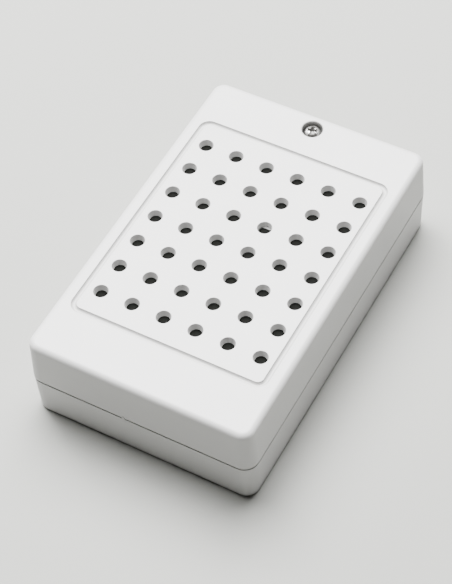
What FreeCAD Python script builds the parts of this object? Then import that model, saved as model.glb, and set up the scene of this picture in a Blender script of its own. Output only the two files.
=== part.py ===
"""Intercom extension sounder: a small two-shell box with a grille, a loudspeaker and a terminal board.

Millimetres. The sounder lies on its back: +Z comes out of the grille, +Y runs to the end with the
cover screw and +X across the width. The origin is the centre of the flat back face.
"""
import FreeCAD, Part
import math
import os

# Case
CASE_WIDTH = 70.4
CASE_LENGTH = 111.2
CASE_HEIGHT = 29.5
PARTING_HEIGHT = 14.7
CORNER_RADIUS = 4.3
WALL = 2.0
FRONT_WALL = 2.0
FLOOR = 2.0
COVER_DRAFT_DEG = 2.8
BASE_DRAFT_DEG = 1.4
RIM_INSET = 0.05
RIM_CHAMFER = 0.06
SHADOW_GAP_HEIGHT = 0.7
SHADOW_GAP_DEPTH = 0.6
FRONT_EDGE_RADIUS = 1.8
BACK_EDGE_RADIUS = 1.0

# Interlocking step between the two shells
RIDGE_SETBACK = 1.1
RIDGE_THICKNESS = 0.9
RIDGE_HEIGHT = 1.2
RIDGE_SIDE_GAP = 0.12
RIDGE_TOP_GAP = 0.3

# Grille and the channel round it
HOLE_PITCH = 10.0
HOLE_COLUMNS = 6
HOLE_ROWS = 7
HOLE_MOUTH_RADIUS = 2.15
HOLE_THROAT_RADIUS = 1.78
HOLE_EDGE_ROUNDING = 0.15
HOLE_EDGE_STEPS = 3
CHANNEL_WIDTH_ACROSS = 59.7
CHANNEL_LENGTH_ALONG = 76.8
CHANNEL_CORNER_RADIUS = 2.6
CHANNEL_MOUTH = 1.65
CHANNEL_DEPTH = 0.8
FLASH_THICKNESS = 0.2
FLASH_EDGE_OFFSET = 1.1
FLASH_RISE = 0.1
GATE_MARK_X = -4.3
GATE_MARK_RADIUS = 0.65
GATE_MARK_PROUD = 0.18
GATE_MARK_RISE = 0.2
CLOTH_THICKNESS = 0.3
CLOTH_MARGIN = 3.9
CLOTH_FRAME_GAP = 0.3
CLOTH_FRAME_WIDTH = 0.8
CLOTH_FRAME_HEIGHT = 1.1
CLOTH_CORNER = 1.1

# Cover screw, its recess and bosses
SCREW_END_MARGIN = 6.2
SCREW_Y = CASE_LENGTH / 2 - SCREW_END_MARGIN
RECESS_RADIUS = 3.0
RECESS_EDGE_ROUNDING = 0.6
HEAD_RADIUS = 2.5
HEAD_RIM_HEIGHT = 1.0
HEAD_HEIGHT = 2.3
SCREW_LENGTH = 19.0
SCREW_CREST_RADIUS = 1.45
SCREW_ROOT_RADIUS = 1.05
SCREW_PITCH = 1.1
SCREW_BORE_CLEARANCE = 0.15
SCREW_PASS_CLEARANCE = 0.25
SCREW_CROSS_TURN_DEG = 15.0
SCREW_CROSS_WIDTH = 0.75
HEAD_DOME_STEPS = 5
HEAD_CROWN_DEG = 78.0
SEAT_DEPTH = 2.6
SEAT_THICKNESS = 2.0
COVER_BOSS_WALL = 1.6
COVER_BOSS_BORE_RADIUS = 2.9
BASE_BOSS_RADIUS = 4.3
BOSS_GAP = 0.3
BOSS_SIDE_GAP = 0.3
BORE_FLOOR = 3.0

# Hooks at the other end
HOOK_SPACING = 40.0
HOOK_WIDTH = 7.0
HOOK_THICKNESS = 1.4
HOOK_LIP = 0.75
HOOK_LIP_HEIGHT = 1.4
HOOK_LIP_SLOPE = 0.4
LUG_TOP = 12.6
LUG_THICKNESS = 1.6
LUG_DEPTH = 1.0
LUG_EXTRA_WIDTH = 0.5
HOOK_LUG_GAP = 0.3
HOOK_DROP_GAP = 0.35
HOOK_ROOT_HEIGHT = 3.6
HOOK_ROOT_GAP = 0.6

# Wall fixing and rear cable entry
FIXING_SPACING = 60.0
FIXING_RADIUS = 2.25
FIXING_PAD_RADIUS = 5.0
PAD_HEIGHT = 1.0
CABLE_HOLE_X = -21.0
CABLE_HOLE_Y = -7.0
CABLE_HOLE_RADIUS = 6.0
CABLE_COLLAR_WALL = 1.2

# Loudspeaker
SPEAKER_RADIUS = 25.0
SHEET = 0.6
MAGNET_EDGE = 0.6
GASKET_TOP_GAP = 0.2
GASKET_HEIGHT = 2.15
SURROUND_SHEET = 0.25
GASKET_WIDTH = 1.5
FLANGE_EDGE_LEFT_BARE = 1.0
BASKET_DEPTH = 8.2
BASKET_STEP_RADIUS = 13.6
BASKET_STEP_HEIGHT = 2.0
BASKET_LEDGE_WIDTH = 2.6
BASKET_BORE_RADIUS = 7.6
BASKET_WINDOWS = 4
BASKET_WINDOW_DEG = 56.0
PLATE_THICKNESS = 1.6
PLATE_RADIUS = 14.0
MAGNET_RADIUS = 16.0
MAGNET_BORE_RADIUS = 8.5
MAGNET_HEIGHT = 6.0
YOKE_RADIUS = 14.5
POLE_RADIUS = 6.2
COIL_GAP = 0.3
GLUE_GAP = 0.02
FORMER_THICKNESS = 0.2
WINDING_THICKNESS = 0.3
WINDING_HEIGHT = 3.0
WINDING_GAP = 0.2
CONE_RIM_RADIUS = 20.6
CONE_THICKNESS = 0.4
CONE_LAND = 1.0
CONE_FLARE = 1.2
SURROUND_LAND = 0.8
ROLL_SIDE_GAP = 0.1
CONE_NECK_RISE = 1.0
ROLL_HEIGHT = 0.8
DUST_CAP_RADIUS = 7.6
DUST_CAP_HEIGHT = 2.3
DUST_CAP_THICKNESS = 0.3
SPIDER_THICKNESS = 0.3
SPIDER_WAVE = 0.4
SPIDER_WAVES = 4

# Speaker posts and clips
POST_ANGLES_DEG = (45.0, 135.0, 225.0, 315.0)
POST_CIRCLE_RADIUS = 29.0
POST_RADIUS = 2.7
POST_RIB_THICKNESS = 1.8
POST_RIB_BITE = 0.8
CLIP_WIDTH = 6.0
CLIP_THICKNESS = 0.8
CLIP_OUTER_OVERHANG = 3.2
CLIP_CORNER = 0.8
SMALL_SCREW_HEAD_RADIUS = 2.0
SMALL_SCREW_HEAD_HEIGHT = 1.35
SMALL_SCREW_CREST_RADIUS = 1.05
SMALL_SCREW_ROOT_RADIUS = 0.75
SMALL_SCREW_PITCH = 0.8
SMALL_SCREW_CLEARANCE = 0.08
SMALL_SCREW_CROSS_WIDTH = 0.6
SMALL_BORE_SPARE = 0.6
CLIP_SCREW_LENGTH = 8.0
BOARD_SCREW_LENGTH = 5.0

# Tag strip on the basket
STRIP_ANGLE_DEG = 290.0
STRIP_WIDTH = 9.0
STRIP_THICKNESS = 1.0
STRIP_OUTER_RADIUS = 21.0
TAG_SPACING = 6.0
TAG_WIDTH = 2.2
TAG_THICKNESS = 0.5
TAG_REACH = 3.4
TAG_EYE_RADIUS = 0.75
TINSEL_RADIUS = 0.3
TINSEL_START = 20.3
TINSEL_BOW_OUT = 2.2
TINSEL_BOW_UP = 0.5
TINSEL_TAPER = 0.8

# Circuit board
BOARD_BOTTOM = 5.6
BOARD_THICKNESS = 1.6
BOARD_WIDTH = 56.0
BOARD_LENGTH = 24.0
BOARD_END_MARGIN = 5.1
BOARD_Y_LOW = BOARD_END_MARGIN - CASE_LENGTH / 2
BOARD_CORNER = 1.5
NOTCH_RADIUS = 5.0
SIDE_POST_X = 25.2
SIDE_POST_MARGIN = 3.1
MIDDLE_POST_MARGIN = 11.0
BOARD_POSTS = ((-SIDE_POST_X, BOARD_Y_LOW + SIDE_POST_MARGIN), (SIDE_POST_X, BOARD_Y_LOW + SIDE_POST_MARGIN),
               (0.0, BOARD_Y_LOW + MIDDLE_POST_MARGIN))
BOARD_POST_RADIUS = 2.6
BOARD_HOLE_RADIUS = 1.3
SPEAKER_POST_ROOM = 0.5
LEG_TAIL = 1.4
LEG_HOLE_CLEARANCE = 0.1
SOLDER_RADIUS = 0.8
SOLDER_HEIGHT = 0.9

# Terminal block
WAYS = 3
WAY_PITCH = 5.0
TERMINAL_X = -14.0
TERMINAL_EDGE_MARGIN = 3.3
TERMINAL_Y_LOW = BOARD_Y_LOW + TERMINAL_EDGE_MARGIN
TERMINAL_DEPTH = 8.5
TERMINAL_HEIGHT = 10.0
TERMINAL_TOP_CHAMFER = 1.2
CHAMBER_WIDTH = 3.8
CHAMBER_FLOOR = 0.4
CHAMBER_HEIGHT = 7.6
CHAMBER_BACK_WALL = 0.8
CLAMP_SIDE_GAP = 0.15
CLAMP_SHEET = 0.5
CLAMP_TOP = 1.2
CLAMP_HEIGHT = 5.2
CLAMP_DEPTH = 5.2
CLAMP_LIFT = 0.2
CONTACT_RISE = 3.5
CONTACT_THICKNESS = 0.6
CONTACT_WIDTH = 1.2
TERMINAL_SCREW_HEAD_RADIUS = 1.7
TERMINAL_SCREW_HEAD_HEIGHT = 1.7
TERMINAL_SCREW_CREST_RADIUS = 1.2
TERMINAL_SCREW_ROOT_RADIUS = 0.95
TERMINAL_SCREW_PITCH = 0.5
TERMINAL_RUNNING_GAP = 0.08
SCREW_HEAD_SIDE_GAP = 0.15
TERMINAL_SCREW_EDGE = 0.2
TERMINAL_SLOT_WIDTH = 0.7
TERMINAL_SLOT_DEPTH = 0.8

# Volume trimmer
TRIMMER_X = 17.5
TRIMMER_MARGIN = 8.5
TRIMMER_Y = BOARD_Y_LOW + TRIMMER_MARGIN
TRIMMER_SIDE = 10.0
TRIMMER_HEIGHT = 4.8
TRIMMER_CORNER = 1.1
ROTOR_RADIUS = 3.3
ROTOR_DEPTH = 1.6
ROTOR_PROUD = 0.5
ROTOR_STEM_RADIUS = 1.6
ROTOR_GAP = 0.08
ROTOR_SLOT_WIDTH = 0.8

# Other parts on the board
PART_LIFT = 0.1
LEG_RADIUS = 0.3
ELECTROLYTIC_X = 7.3
ELECTROLYTIC_MARGIN = 7.5
ELECTROLYTIC_Y = BOARD_Y_LOW + ELECTROLYTIC_MARGIN
ELECTROLYTIC_RADIUS = 4.0
ELECTROLYTIC_HEIGHT = 11.5
ELECTROLYTIC_LEG_SPACING = 3.5
ELECTROLYTIC_EDGE = 0.5
ELECTROLYTIC_GROOVE_HEIGHT = 1.8
ELECTROLYTIC_GROOVE_DEPTH = 0.32
ELECTROLYTIC_GROOVE_HALF = 0.5
ELECTROLYTIC_LID_DEPTH = 0.2
CHIP_X = 11.8
CHIP_MARGIN = 17.9
CHIP_Y = BOARD_Y_LOW + CHIP_MARGIN
CHIP_LENGTH = 9.8
CHIP_WIDTH = 6.4
CHIP_HEIGHT = 3.3
CHIP_STANDOFF = 0.5
CHIP_LEGS_PER_SIDE = 4
CHIP_LEG_PITCH = 2.54
CHIP_ROW_SPACING = 7.62
CHIP_EDGE = 0.35
CHIP_NOTCH_RADIUS = 0.9
CHIP_NOTCH_DEPTH = 0.5
CHIP_LEG_WIDTH = 1.2
CHIP_LEG_THICKNESS = 0.25
RESISTOR_X = 23.0
RESISTORS = 3
RESISTOR_PITCH = 2.8
RESISTOR_MARGIN = 14.9
RESISTOR_ROWS_Y = [BOARD_Y_LOW + RESISTOR_MARGIN + row * RESISTOR_PITCH for row in range(RESISTORS)]
RESISTOR_LENGTH = 5.4
RESISTOR_RADIUS = 1.15
RESISTOR_SPAN = 8.2
DIODE_X = -24.7
DIODE_PITCH = 3.0
DIODE_MARGIN = 10.2
DIODE_ROW_PITCH = 8.3
DIODE_LENGTH = 4.0
DIODE_RADIUS = 1.05
DIODE_SPAN = 6.4
FILM_X = 25.8
FILM_MARGIN = 9.1
FILM_Y = BOARD_Y_LOW + FILM_MARGIN
FILM_LENGTH = 6.6
FILM_WIDTH = 2.5
FILM_HEIGHT = 6.5
FILM_LEG_SPACING = 5.0
FILM_EDGE_ROUNDING = 0.35
TRANSISTOR_X = -2.2
TRANSISTOR_MARGIN = 5.9
TRANSISTOR_Y = BOARD_Y_LOW + TRANSISTOR_MARGIN
TRANSISTOR_RADIUS = 2.3
TRANSISTOR_HEIGHT = 4.8
TRANSISTOR_STANDOFF = 2.0
TRANSISTOR_LEG_PITCH = 1.27

# Speaker wires
WIRE_RADIUS = 0.55
WIRE_PAD_MARGIN = 22.5
WIRE_PAD_Y = BOARD_Y_LOW + WIRE_PAD_MARGIN
WIRE_PADS_X = (6.6, 17.6)

# Worked-out levels
COVER_SLOPE = math.tan(math.radians(COVER_DRAFT_DEG))
BASE_SLOPE = math.tan(math.radians(BASE_DRAFT_DEG))
CEILING = CASE_HEIGHT - FRONT_WALL
CLOTH_BOTTOM = CEILING - CLOTH_THICKNESS
FLANGE_TOP = CLOTH_BOTTOM - GASKET_TOP_GAP - GASKET_HEIGHT - SURROUND_SHEET
PLATE_TOP = FLANGE_TOP - SHEET - BASKET_DEPTH
LEDGE_TOP = PLATE_TOP + SHEET + BASKET_STEP_HEIGHT
MAGNET_TOP = PLATE_TOP - PLATE_THICKNESS
YOKE_TOP = MAGNET_TOP - MAGNET_HEIGHT
FORMER_INNER_RADIUS = POLE_RADIUS + COIL_GAP
FORMER_RADIUS = FORMER_INNER_RADIUS + FORMER_THICKNESS
WINDING_RADIUS = FORMER_RADIUS + WINDING_THICKNESS
NECK_HEIGHT = LEDGE_TOP + SPIDER_THICKNESS + CONE_NECK_RISE
GASKET_RADIUS = SPEAKER_RADIUS - FLANGE_EDGE_LEFT_BARE
ROLL_RADIUS = GASKET_RADIUS - GASKET_WIDTH
SEAT_HEIGHT = CASE_HEIGHT - SEAT_DEPTH
BOARD_TOP = BOARD_BOTTOM + BOARD_THICKNESS
FIXING_PLACES = ((0.0, -FIXING_SPACING / 2), (0.0, FIXING_SPACING / 2))
COVER_BOSS_RADIUS = COVER_BOSS_BORE_RADIUS + COVER_BOSS_WALL
COVER_BOSS_BOTTOM = PARTING_HEIGHT + BOSS_GAP
SCREW_BORE_RADIUS = SCREW_CREST_RADIUS + SCREW_BORE_CLEARANCE
SMALL_BORE_RADIUS = SMALL_SCREW_CREST_RADIUS + SMALL_SCREW_CLEARANCE
UP = FreeCAD.Vector(0, 0, 1)


def point(x, y, z):
    return FreeCAD.Vector(x, y, z)


def box(x_low, x_high, y_low, y_high, z_low, z_high):
    size = (x_high - x_low, y_high - y_low, z_high - z_low)
    return Part.makeBox(*size, point(x_low, y_low, z_low))


def centred_box(x, y, width, length, z_low, z_high):
    return box(x - width / 2, x + width / 2, y - length / 2, y + length / 2, z_low, z_high)


def rod(x, y, z_low, z_high, radius):
    return Part.makeCylinder(radius, z_high - z_low, point(x, y, z_low))


def tube(x, y, z_low, z_high, radius, bore):
    return rod(x, y, z_low, z_high, radius).cut(rod(x, y, z_low, z_high, bore))


def rod_along(start, end, radius):
    return Part.makeCylinder(radius, start.distanceToPoint(end), start, end - start)


def joined(shapes):
    first, *rest = shapes
    return first.fuse(rest).removeSplitter() if rest else first


def without(shape, tools):
    return shape.cut(Part.makeCompound(tools))


def group(shapes):
    return Part.makeCompound(shapes)


def turned(outline, x=0.0, y=0.0):
    """A solid of revolution about the vertical line through (x, y); outline is (radius, height) pairs."""
    corners = [point(x + radius, y, height) for radius, height in outline]
    face = Part.Face(Part.makePolygon(corners + corners[:1]))
    return face.revolve(point(x, y, 0), UP, 360)


def rounded_rectangle(width, length, radius, height, x=0.0, y=0.0):
    """A closed wire of four lines and four quarter arcs in a level plane."""
    edges = []
    half_width = width / 2
    half_length = length / 2
    flat_x = half_width - radius
    flat_y = half_length - radius
    bend = radius * math.sqrt(0.5)
    for sign_x, sign_y in ((1, 1), (-1, 1), (-1, -1), (1, -1)):
        side = point(x + sign_x * half_width, y + sign_y * flat_y, height)
        middle = point(x + sign_x * (flat_x + bend), y + sign_y * (flat_y + bend), height)
        end = point(x + sign_x * flat_x, y + sign_y * half_length, height)
        stops = (side, middle, end) if sign_x == sign_y else (end, middle, side)
        edges.append((stops[0], Part.Arc(*stops).toShape(), stops[2]))
    chain = []
    for index, (start, arc, end) in enumerate(edges):
        following = edges[(index + 1) % len(edges)][0]
        chain += [arc, Part.LineSegment(end, following).toShape()]
    return Part.Wire(chain)


def plate(width, length, radius, z_low, z_high, x=0.0, y=0.0):
    face = Part.Face(rounded_rectangle(width, length, radius, z_low, x, y))
    return face.extrude(point(0, 0, z_high - z_low))


def cover_inset(height):
    return (height - PARTING_HEIGHT) * COVER_SLOPE


def base_inset(height):
    return RIM_INSET + (PARTING_HEIGHT - height) * BASE_SLOPE


def case_section(height, inset):
    radius = max(CORNER_RADIUS - inset, WALL / 4)
    return rounded_rectangle(CASE_WIDTH - 2 * inset, CASE_LENGTH - 2 * inset, radius, height)


def case_block(z_low, z_high, inset_at, depth=0.0):
    """A drafted block whose sides lie depth inside the outer skin."""
    sections = [case_section(z, inset_at(z) + depth) for z in (z_low, z_high)]
    return Part.makeLoft(sections, True, True)


def level_edges(shape, height):
    return [edge for edge in shape.Edges
            if abs(edge.BoundBox.ZMin - height) < 1e-4 and abs(edge.BoundBox.ZMax - height) < 1e-4]


def grille_places():
    for column in range(HOLE_COLUMNS):
        for row in range(HOLE_ROWS):
            x = (column - (HOLE_COLUMNS - 1) / 2) * HOLE_PITCH
            y = (row - (HOLE_ROWS - 1) / 2) * HOLE_PITCH
            yield x, y


def threaded_shank(x, y, top, length, crest, root, pitch, tip_length):
    """A screw shank as one turned solid with a saw-tooth edge and a pointed tip."""
    outline = [(0, top), (root, top)]
    height = top - pitch
    while height - pitch > top - length + tip_length:
        outline += [(root, height), (crest, height - pitch * 0.4), (crest, height - pitch * 0.55),
                    (root, height - pitch * 0.95)]
        height -= pitch
    outline += [(root, top - length + tip_length), (0, top - length)]
    return turned(outline, x, y)


def screw_head(x, y, seat, radius, rim_height, height):
    """A pan head: an upright rim, then a shallow dome with a small flat crown."""
    outline = [(0, seat), (radius, seat)]
    crown = math.radians(HEAD_CROWN_DEG)
    for index in range(HEAD_DOME_STEPS + 1):
        angle = crown * index / HEAD_DOME_STEPS
        rise = (height - rim_height) * math.sin(angle) / math.sin(crown)
        outline.append((radius * math.cos(angle), seat + rim_height + rise))
    outline.append((0, seat + height))
    return turned(outline, x, y)


def cross_recess(x, y, top, reach, width, depth, turn_deg):
    """Two crossed tapering slots for a cross-head driver."""
    arms = []
    for extra in (0, 90):
        sections = []
        for height, length, breadth in ((top, reach * 2, width), (top - depth, reach * 0.8, width * 0.6)):
            corners = [point(x + sx * length / 2, y + sy * breadth / 2, height)
                       for sx, sy in ((1, 1), (-1, 1), (-1, -1), (1, -1))]
            sections.append(Part.makePolygon(corners + corners[:1]))
        arm = Part.makeLoft(sections, True, True)
        arm.rotate(point(x, y, 0), UP, turn_deg + extra)
        arms.append(arm)
    return joined(arms)


def small_screw(x, y, seat, length, turn_deg):
    head = screw_head(x, y, seat, SMALL_SCREW_HEAD_RADIUS, SMALL_SCREW_HEAD_HEIGHT * 0.4,
                      SMALL_SCREW_HEAD_HEIGHT)
    shank = threaded_shank(x, y, seat, length, SMALL_SCREW_CREST_RADIUS, SMALL_SCREW_ROOT_RADIUS,
                           SMALL_SCREW_PITCH, SMALL_SCREW_PITCH)
    recess = cross_recess(x, y, seat + SMALL_SCREW_HEAD_HEIGHT, SMALL_SCREW_HEAD_RADIUS * 0.55,
                          SMALL_SCREW_CROSS_WIDTH, SMALL_SCREW_HEAD_HEIGHT * 0.7, turn_deg)
    return joined([head, shank]).cut(recess)


def polar(radius, angle_deg, height=0.0):
    angle = math.radians(angle_deg)
    return point(radius * math.cos(angle), radius * math.sin(angle), height)


def turned_about_centre(shape, angle_deg):
    shape.rotate(point(0, 0, 0), UP, angle_deg)
    return shape


def rounded_path_tube(route, radius):
    """A round wire along straight runs joined by tangent arcs, each as large as its runs allow."""
    edges = []
    last = route[0]
    for before, corner, after in zip(route, route[1:], route[2:]):
        run_in = (before - corner).Length
        run_out = (after - corner).Length
        to_before = (before - corner).normalize()
        to_after = (after - corner).normalize()
        turn = math.pi - to_before.getAngle(to_after)
        setback = 0.45 * min(run_in, run_out)
        bend_radius = setback / math.tan(turn / 2)
        start = corner + to_before * setback
        end = corner + to_after * setback
        inward = (to_before + to_after).normalize()
        centre_distance = bend_radius / math.cos(turn / 2)
        middle = corner + inward * (centre_distance - bend_radius)
        edges.append(Part.LineSegment(last, start).toShape())
        edges.append(Part.Arc(start, middle, end).toShape())
        last = end
    edges.append(Part.LineSegment(last, route[-1]).toShape())
    path = Part.Wire(edges)
    profile = Part.Wire([Part.makeCircle(radius, route[0], route[1] - route[0])])
    return path.makePipeShell([profile], True, True)


def channel_cutter():
    """The round-bottomed channel that frames the grille."""
    half_mouth = CHANNEL_MOUTH / 2
    cutter_radius = (half_mouth ** 2 + CHANNEL_DEPTH ** 2) / (2 * CHANNEL_DEPTH)
    height = CASE_HEIGHT - CHANNEL_DEPTH + cutter_radius
    path = rounded_rectangle(CHANNEL_WIDTH_ACROSS, CHANNEL_LENGTH_ALONG, CHANNEL_CORNER_RADIUS, height)
    start = point(CHANNEL_WIDTH_ACROSS / 2, 0, height)
    profile = Part.Wire([Part.makeCircle(cutter_radius, start, point(0, 1, 0))])
    return path.makePipeShell([profile], True, True)


def chamfered_block(z_low, z_high, inset_at, chamfer_level, edge_level, edge_radius):
    """An outer case half: rounded at its face, with a small chamfer at the parting line."""
    block = case_block(z_low, z_high, inset_at)
    block = block.makeFillet(edge_radius, level_edges(block, edge_level))
    return block.makeChamfer(RIM_CHAMFER, level_edges(block, chamfer_level))


def hook_levels():
    lug_bottom = LUG_TOP - LUG_THICKNESS
    lip_top = lug_bottom - HOOK_DROP_GAP
    return lug_bottom, lip_top, lip_top - HOOK_LIP_HEIGHT


def hook_outer_y():
    """The face of the hook that slides past the lug."""
    wall_face = -CASE_LENGTH / 2 + base_inset(LUG_TOP) + WALL
    return wall_face + LUG_DEPTH + HOOK_LUG_GAP


def hook(x):
    """A tongue that hangs from the cover's end wall and catches under a lug in the base."""
    lip_top, lip_bottom = hook_levels()[1:]
    outer = hook_outer_y()
    inner = outer + HOOK_THICKNESS
    root_low = PARTING_HEIGHT + RIDGE_HEIGHT + HOOK_ROOT_GAP
    root_high = root_low + HOOK_ROOT_HEIGHT
    wall_middle = -CASE_LENGTH / 2 + cover_inset(root_high) + WALL * 0.75
    outline = [(wall_middle, root_low), (outer, root_low), (outer, lip_top),
               (outer - HOOK_LIP, lip_top - HOOK_LIP_SLOPE), (outer - HOOK_LIP, lip_bottom + HOOK_LIP_SLOPE),
               (outer, lip_bottom), (inner, lip_bottom), (inner, root_low + HOOK_THICKNESS),
               (wall_middle, root_high)]
    corners = [point(x - HOOK_WIDTH / 2, y, z) for y, z in outline]
    return Part.Face(Part.makePolygon(corners + corners[:1])).extrude(point(HOOK_WIDTH, 0, 0))


def lug(x):
    """A catch inside the base's end wall."""
    bottom = hook_levels()[0]
    wall_middle = -CASE_LENGTH / 2 + base_inset(bottom) + WALL / 2
    face = -CASE_LENGTH / 2 + base_inset(LUG_TOP) + WALL + LUG_DEPTH
    outline = [(wall_middle, bottom), (face, bottom), (face, bottom + LUG_THICKNESS * 0.5),
               (face - LUG_DEPTH * 0.6, LUG_TOP), (wall_middle, LUG_TOP)]
    width = HOOK_WIDTH + 2 * LUG_EXTRA_WIDTH
    corners = [point(x - width / 2, y, z) for y, z in outline]
    return Part.Face(Part.makePolygon(corners + corners[:1])).extrude(point(width, 0, 0))


def hook_places():
    return (-HOOK_SPACING / 2, HOOK_SPACING / 2)


def front_cover():
    """The front shell with its grille, channel, screw recess, boss and hooks."""
    outer = chamfered_block(PARTING_HEIGHT, CASE_HEIGHT, cover_inset, PARTING_HEIGHT, CASE_HEIGHT,
                            FRONT_EDGE_RADIUS)
    cavity = case_block(PARTING_HEIGHT, CEILING, cover_inset, WALL)
    rebate_depth = RIM_INSET + RIDGE_SETBACK - RIDGE_SIDE_GAP
    rebate_top = PARTING_HEIGHT + RIDGE_HEIGHT + RIDGE_TOP_GAP
    rebate = case_block(PARTING_HEIGHT, rebate_top, lambda z: rebate_depth)
    frame_bottom = CEILING - CLOTH_FRAME_HEIGHT
    frame = cloth_plate(CLOTH_FRAME_GAP + CLOTH_FRAME_WIDTH, frame_bottom, CEILING).cut(
        cloth_plate(CLOTH_FRAME_GAP, frame_bottom, CEILING))
    boss = rod(0, SCREW_Y, COVER_BOSS_BOTTOM, CEILING, COVER_BOSS_RADIUS)
    end_wall = case_block(PARTING_HEIGHT, CASE_HEIGHT, cover_inset, WALL / 2)
    inner_parts = joined([boss] + [hook(x) for x in hook_places()]).common(joined(
        [end_wall, box(-CASE_WIDTH, CASE_WIDTH, -CASE_LENGTH / 2 + WALL, 0, 0, PARTING_HEIGHT)]))
    shell = outer.cut(cavity).cut(rebate)
    shell = joined([shell, frame, inner_parts])
    shaft_radius = SCREW_CREST_RADIUS + SCREW_PASS_CLEARANCE
    cutters = [rod(0, SCREW_Y, SEAT_HEIGHT, CASE_HEIGHT, RECESS_RADIUS),
               rod(0, SCREW_Y, COVER_BOSS_BOTTOM, SEAT_HEIGHT, shaft_radius),
               rod(0, SCREW_Y, COVER_BOSS_BOTTOM, SEAT_HEIGHT - SEAT_THICKNESS, COVER_BOSS_BORE_RADIUS)]
    cutters += [hole_cutter(x, y) for x, y in grille_places()]
    shell = without(shell, cutters).cut(channel_cutter())
    recess_mouth = [edge for edge in level_edges(shell, CASE_HEIGHT)
                    if isinstance(edge.Curve, Part.Circle) and abs(edge.Curve.Radius - RECESS_RADIUS) < 1e-4]
    shell = shell.makeFillet(RECESS_EDGE_ROUNDING, recess_mouth)
    return joined([shell, moulding_flash(), gate_mark()])


def hole_cutter(x, y):
    """A tapered grille hole with an eased mouth."""
    outline = [(0, CEILING), (HOLE_THROAT_RADIUS, CEILING)]
    for step in range(HOLE_EDGE_STEPS + 1):
        angle = math.pi / 2 * step / HOLE_EDGE_STEPS
        outline.append((HOLE_MOUTH_RADIUS + HOLE_EDGE_ROUNDING * (1 - math.cos(angle)),
                        CASE_HEIGHT - HOLE_EDGE_ROUNDING * (1 - math.sin(angle))))
    outline.append((0, CASE_HEIGHT))
    return turned(outline, x, y)


def moulding_flash():
    """A thin web of moulding flash across the far part of one grille hole."""
    x = HOLE_PITCH / 2
    y = HOLE_PITCH
    low = CEILING + FLASH_RISE
    web = rod(x, y, low, low + FLASH_THICKNESS, HOLE_MOUTH_RADIUS)
    kept = box(x - HOLE_PITCH, x + HOLE_PITCH, y + FLASH_EDGE_OFFSET, y + HOLE_PITCH, low, CASE_HEIGHT)
    return web.common(kept)


def gate_mark():
    """The small raised spot where the plastic entered the mould, on the lower end wall."""
    height = PARTING_HEIGHT + GATE_MARK_RISE
    wall_face = -CASE_LENGTH / 2 + cover_inset(height)
    start = point(GATE_MARK_X, wall_face - GATE_MARK_PROUD, height)
    return Part.makeCone(GATE_MARK_RADIUS * 0.7, GATE_MARK_RADIUS, GATE_MARK_PROUD * 2, start,
                         point(0, 1, 0))


def cloth_plate(growth, z_low, z_high):
    width = (HOLE_COLUMNS - 1) * HOLE_PITCH + 2 * (CLOTH_MARGIN + growth)
    length = (HOLE_ROWS - 1) * HOLE_PITCH + 2 * (CLOTH_MARGIN + growth)
    return plate(width, length, CLOTH_CORNER + growth, z_low, z_high)


def dust_cloth():
    """The black cloth stuck inside the grille."""
    return cloth_plate(0, CLOTH_BOTTOM, CEILING)


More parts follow.
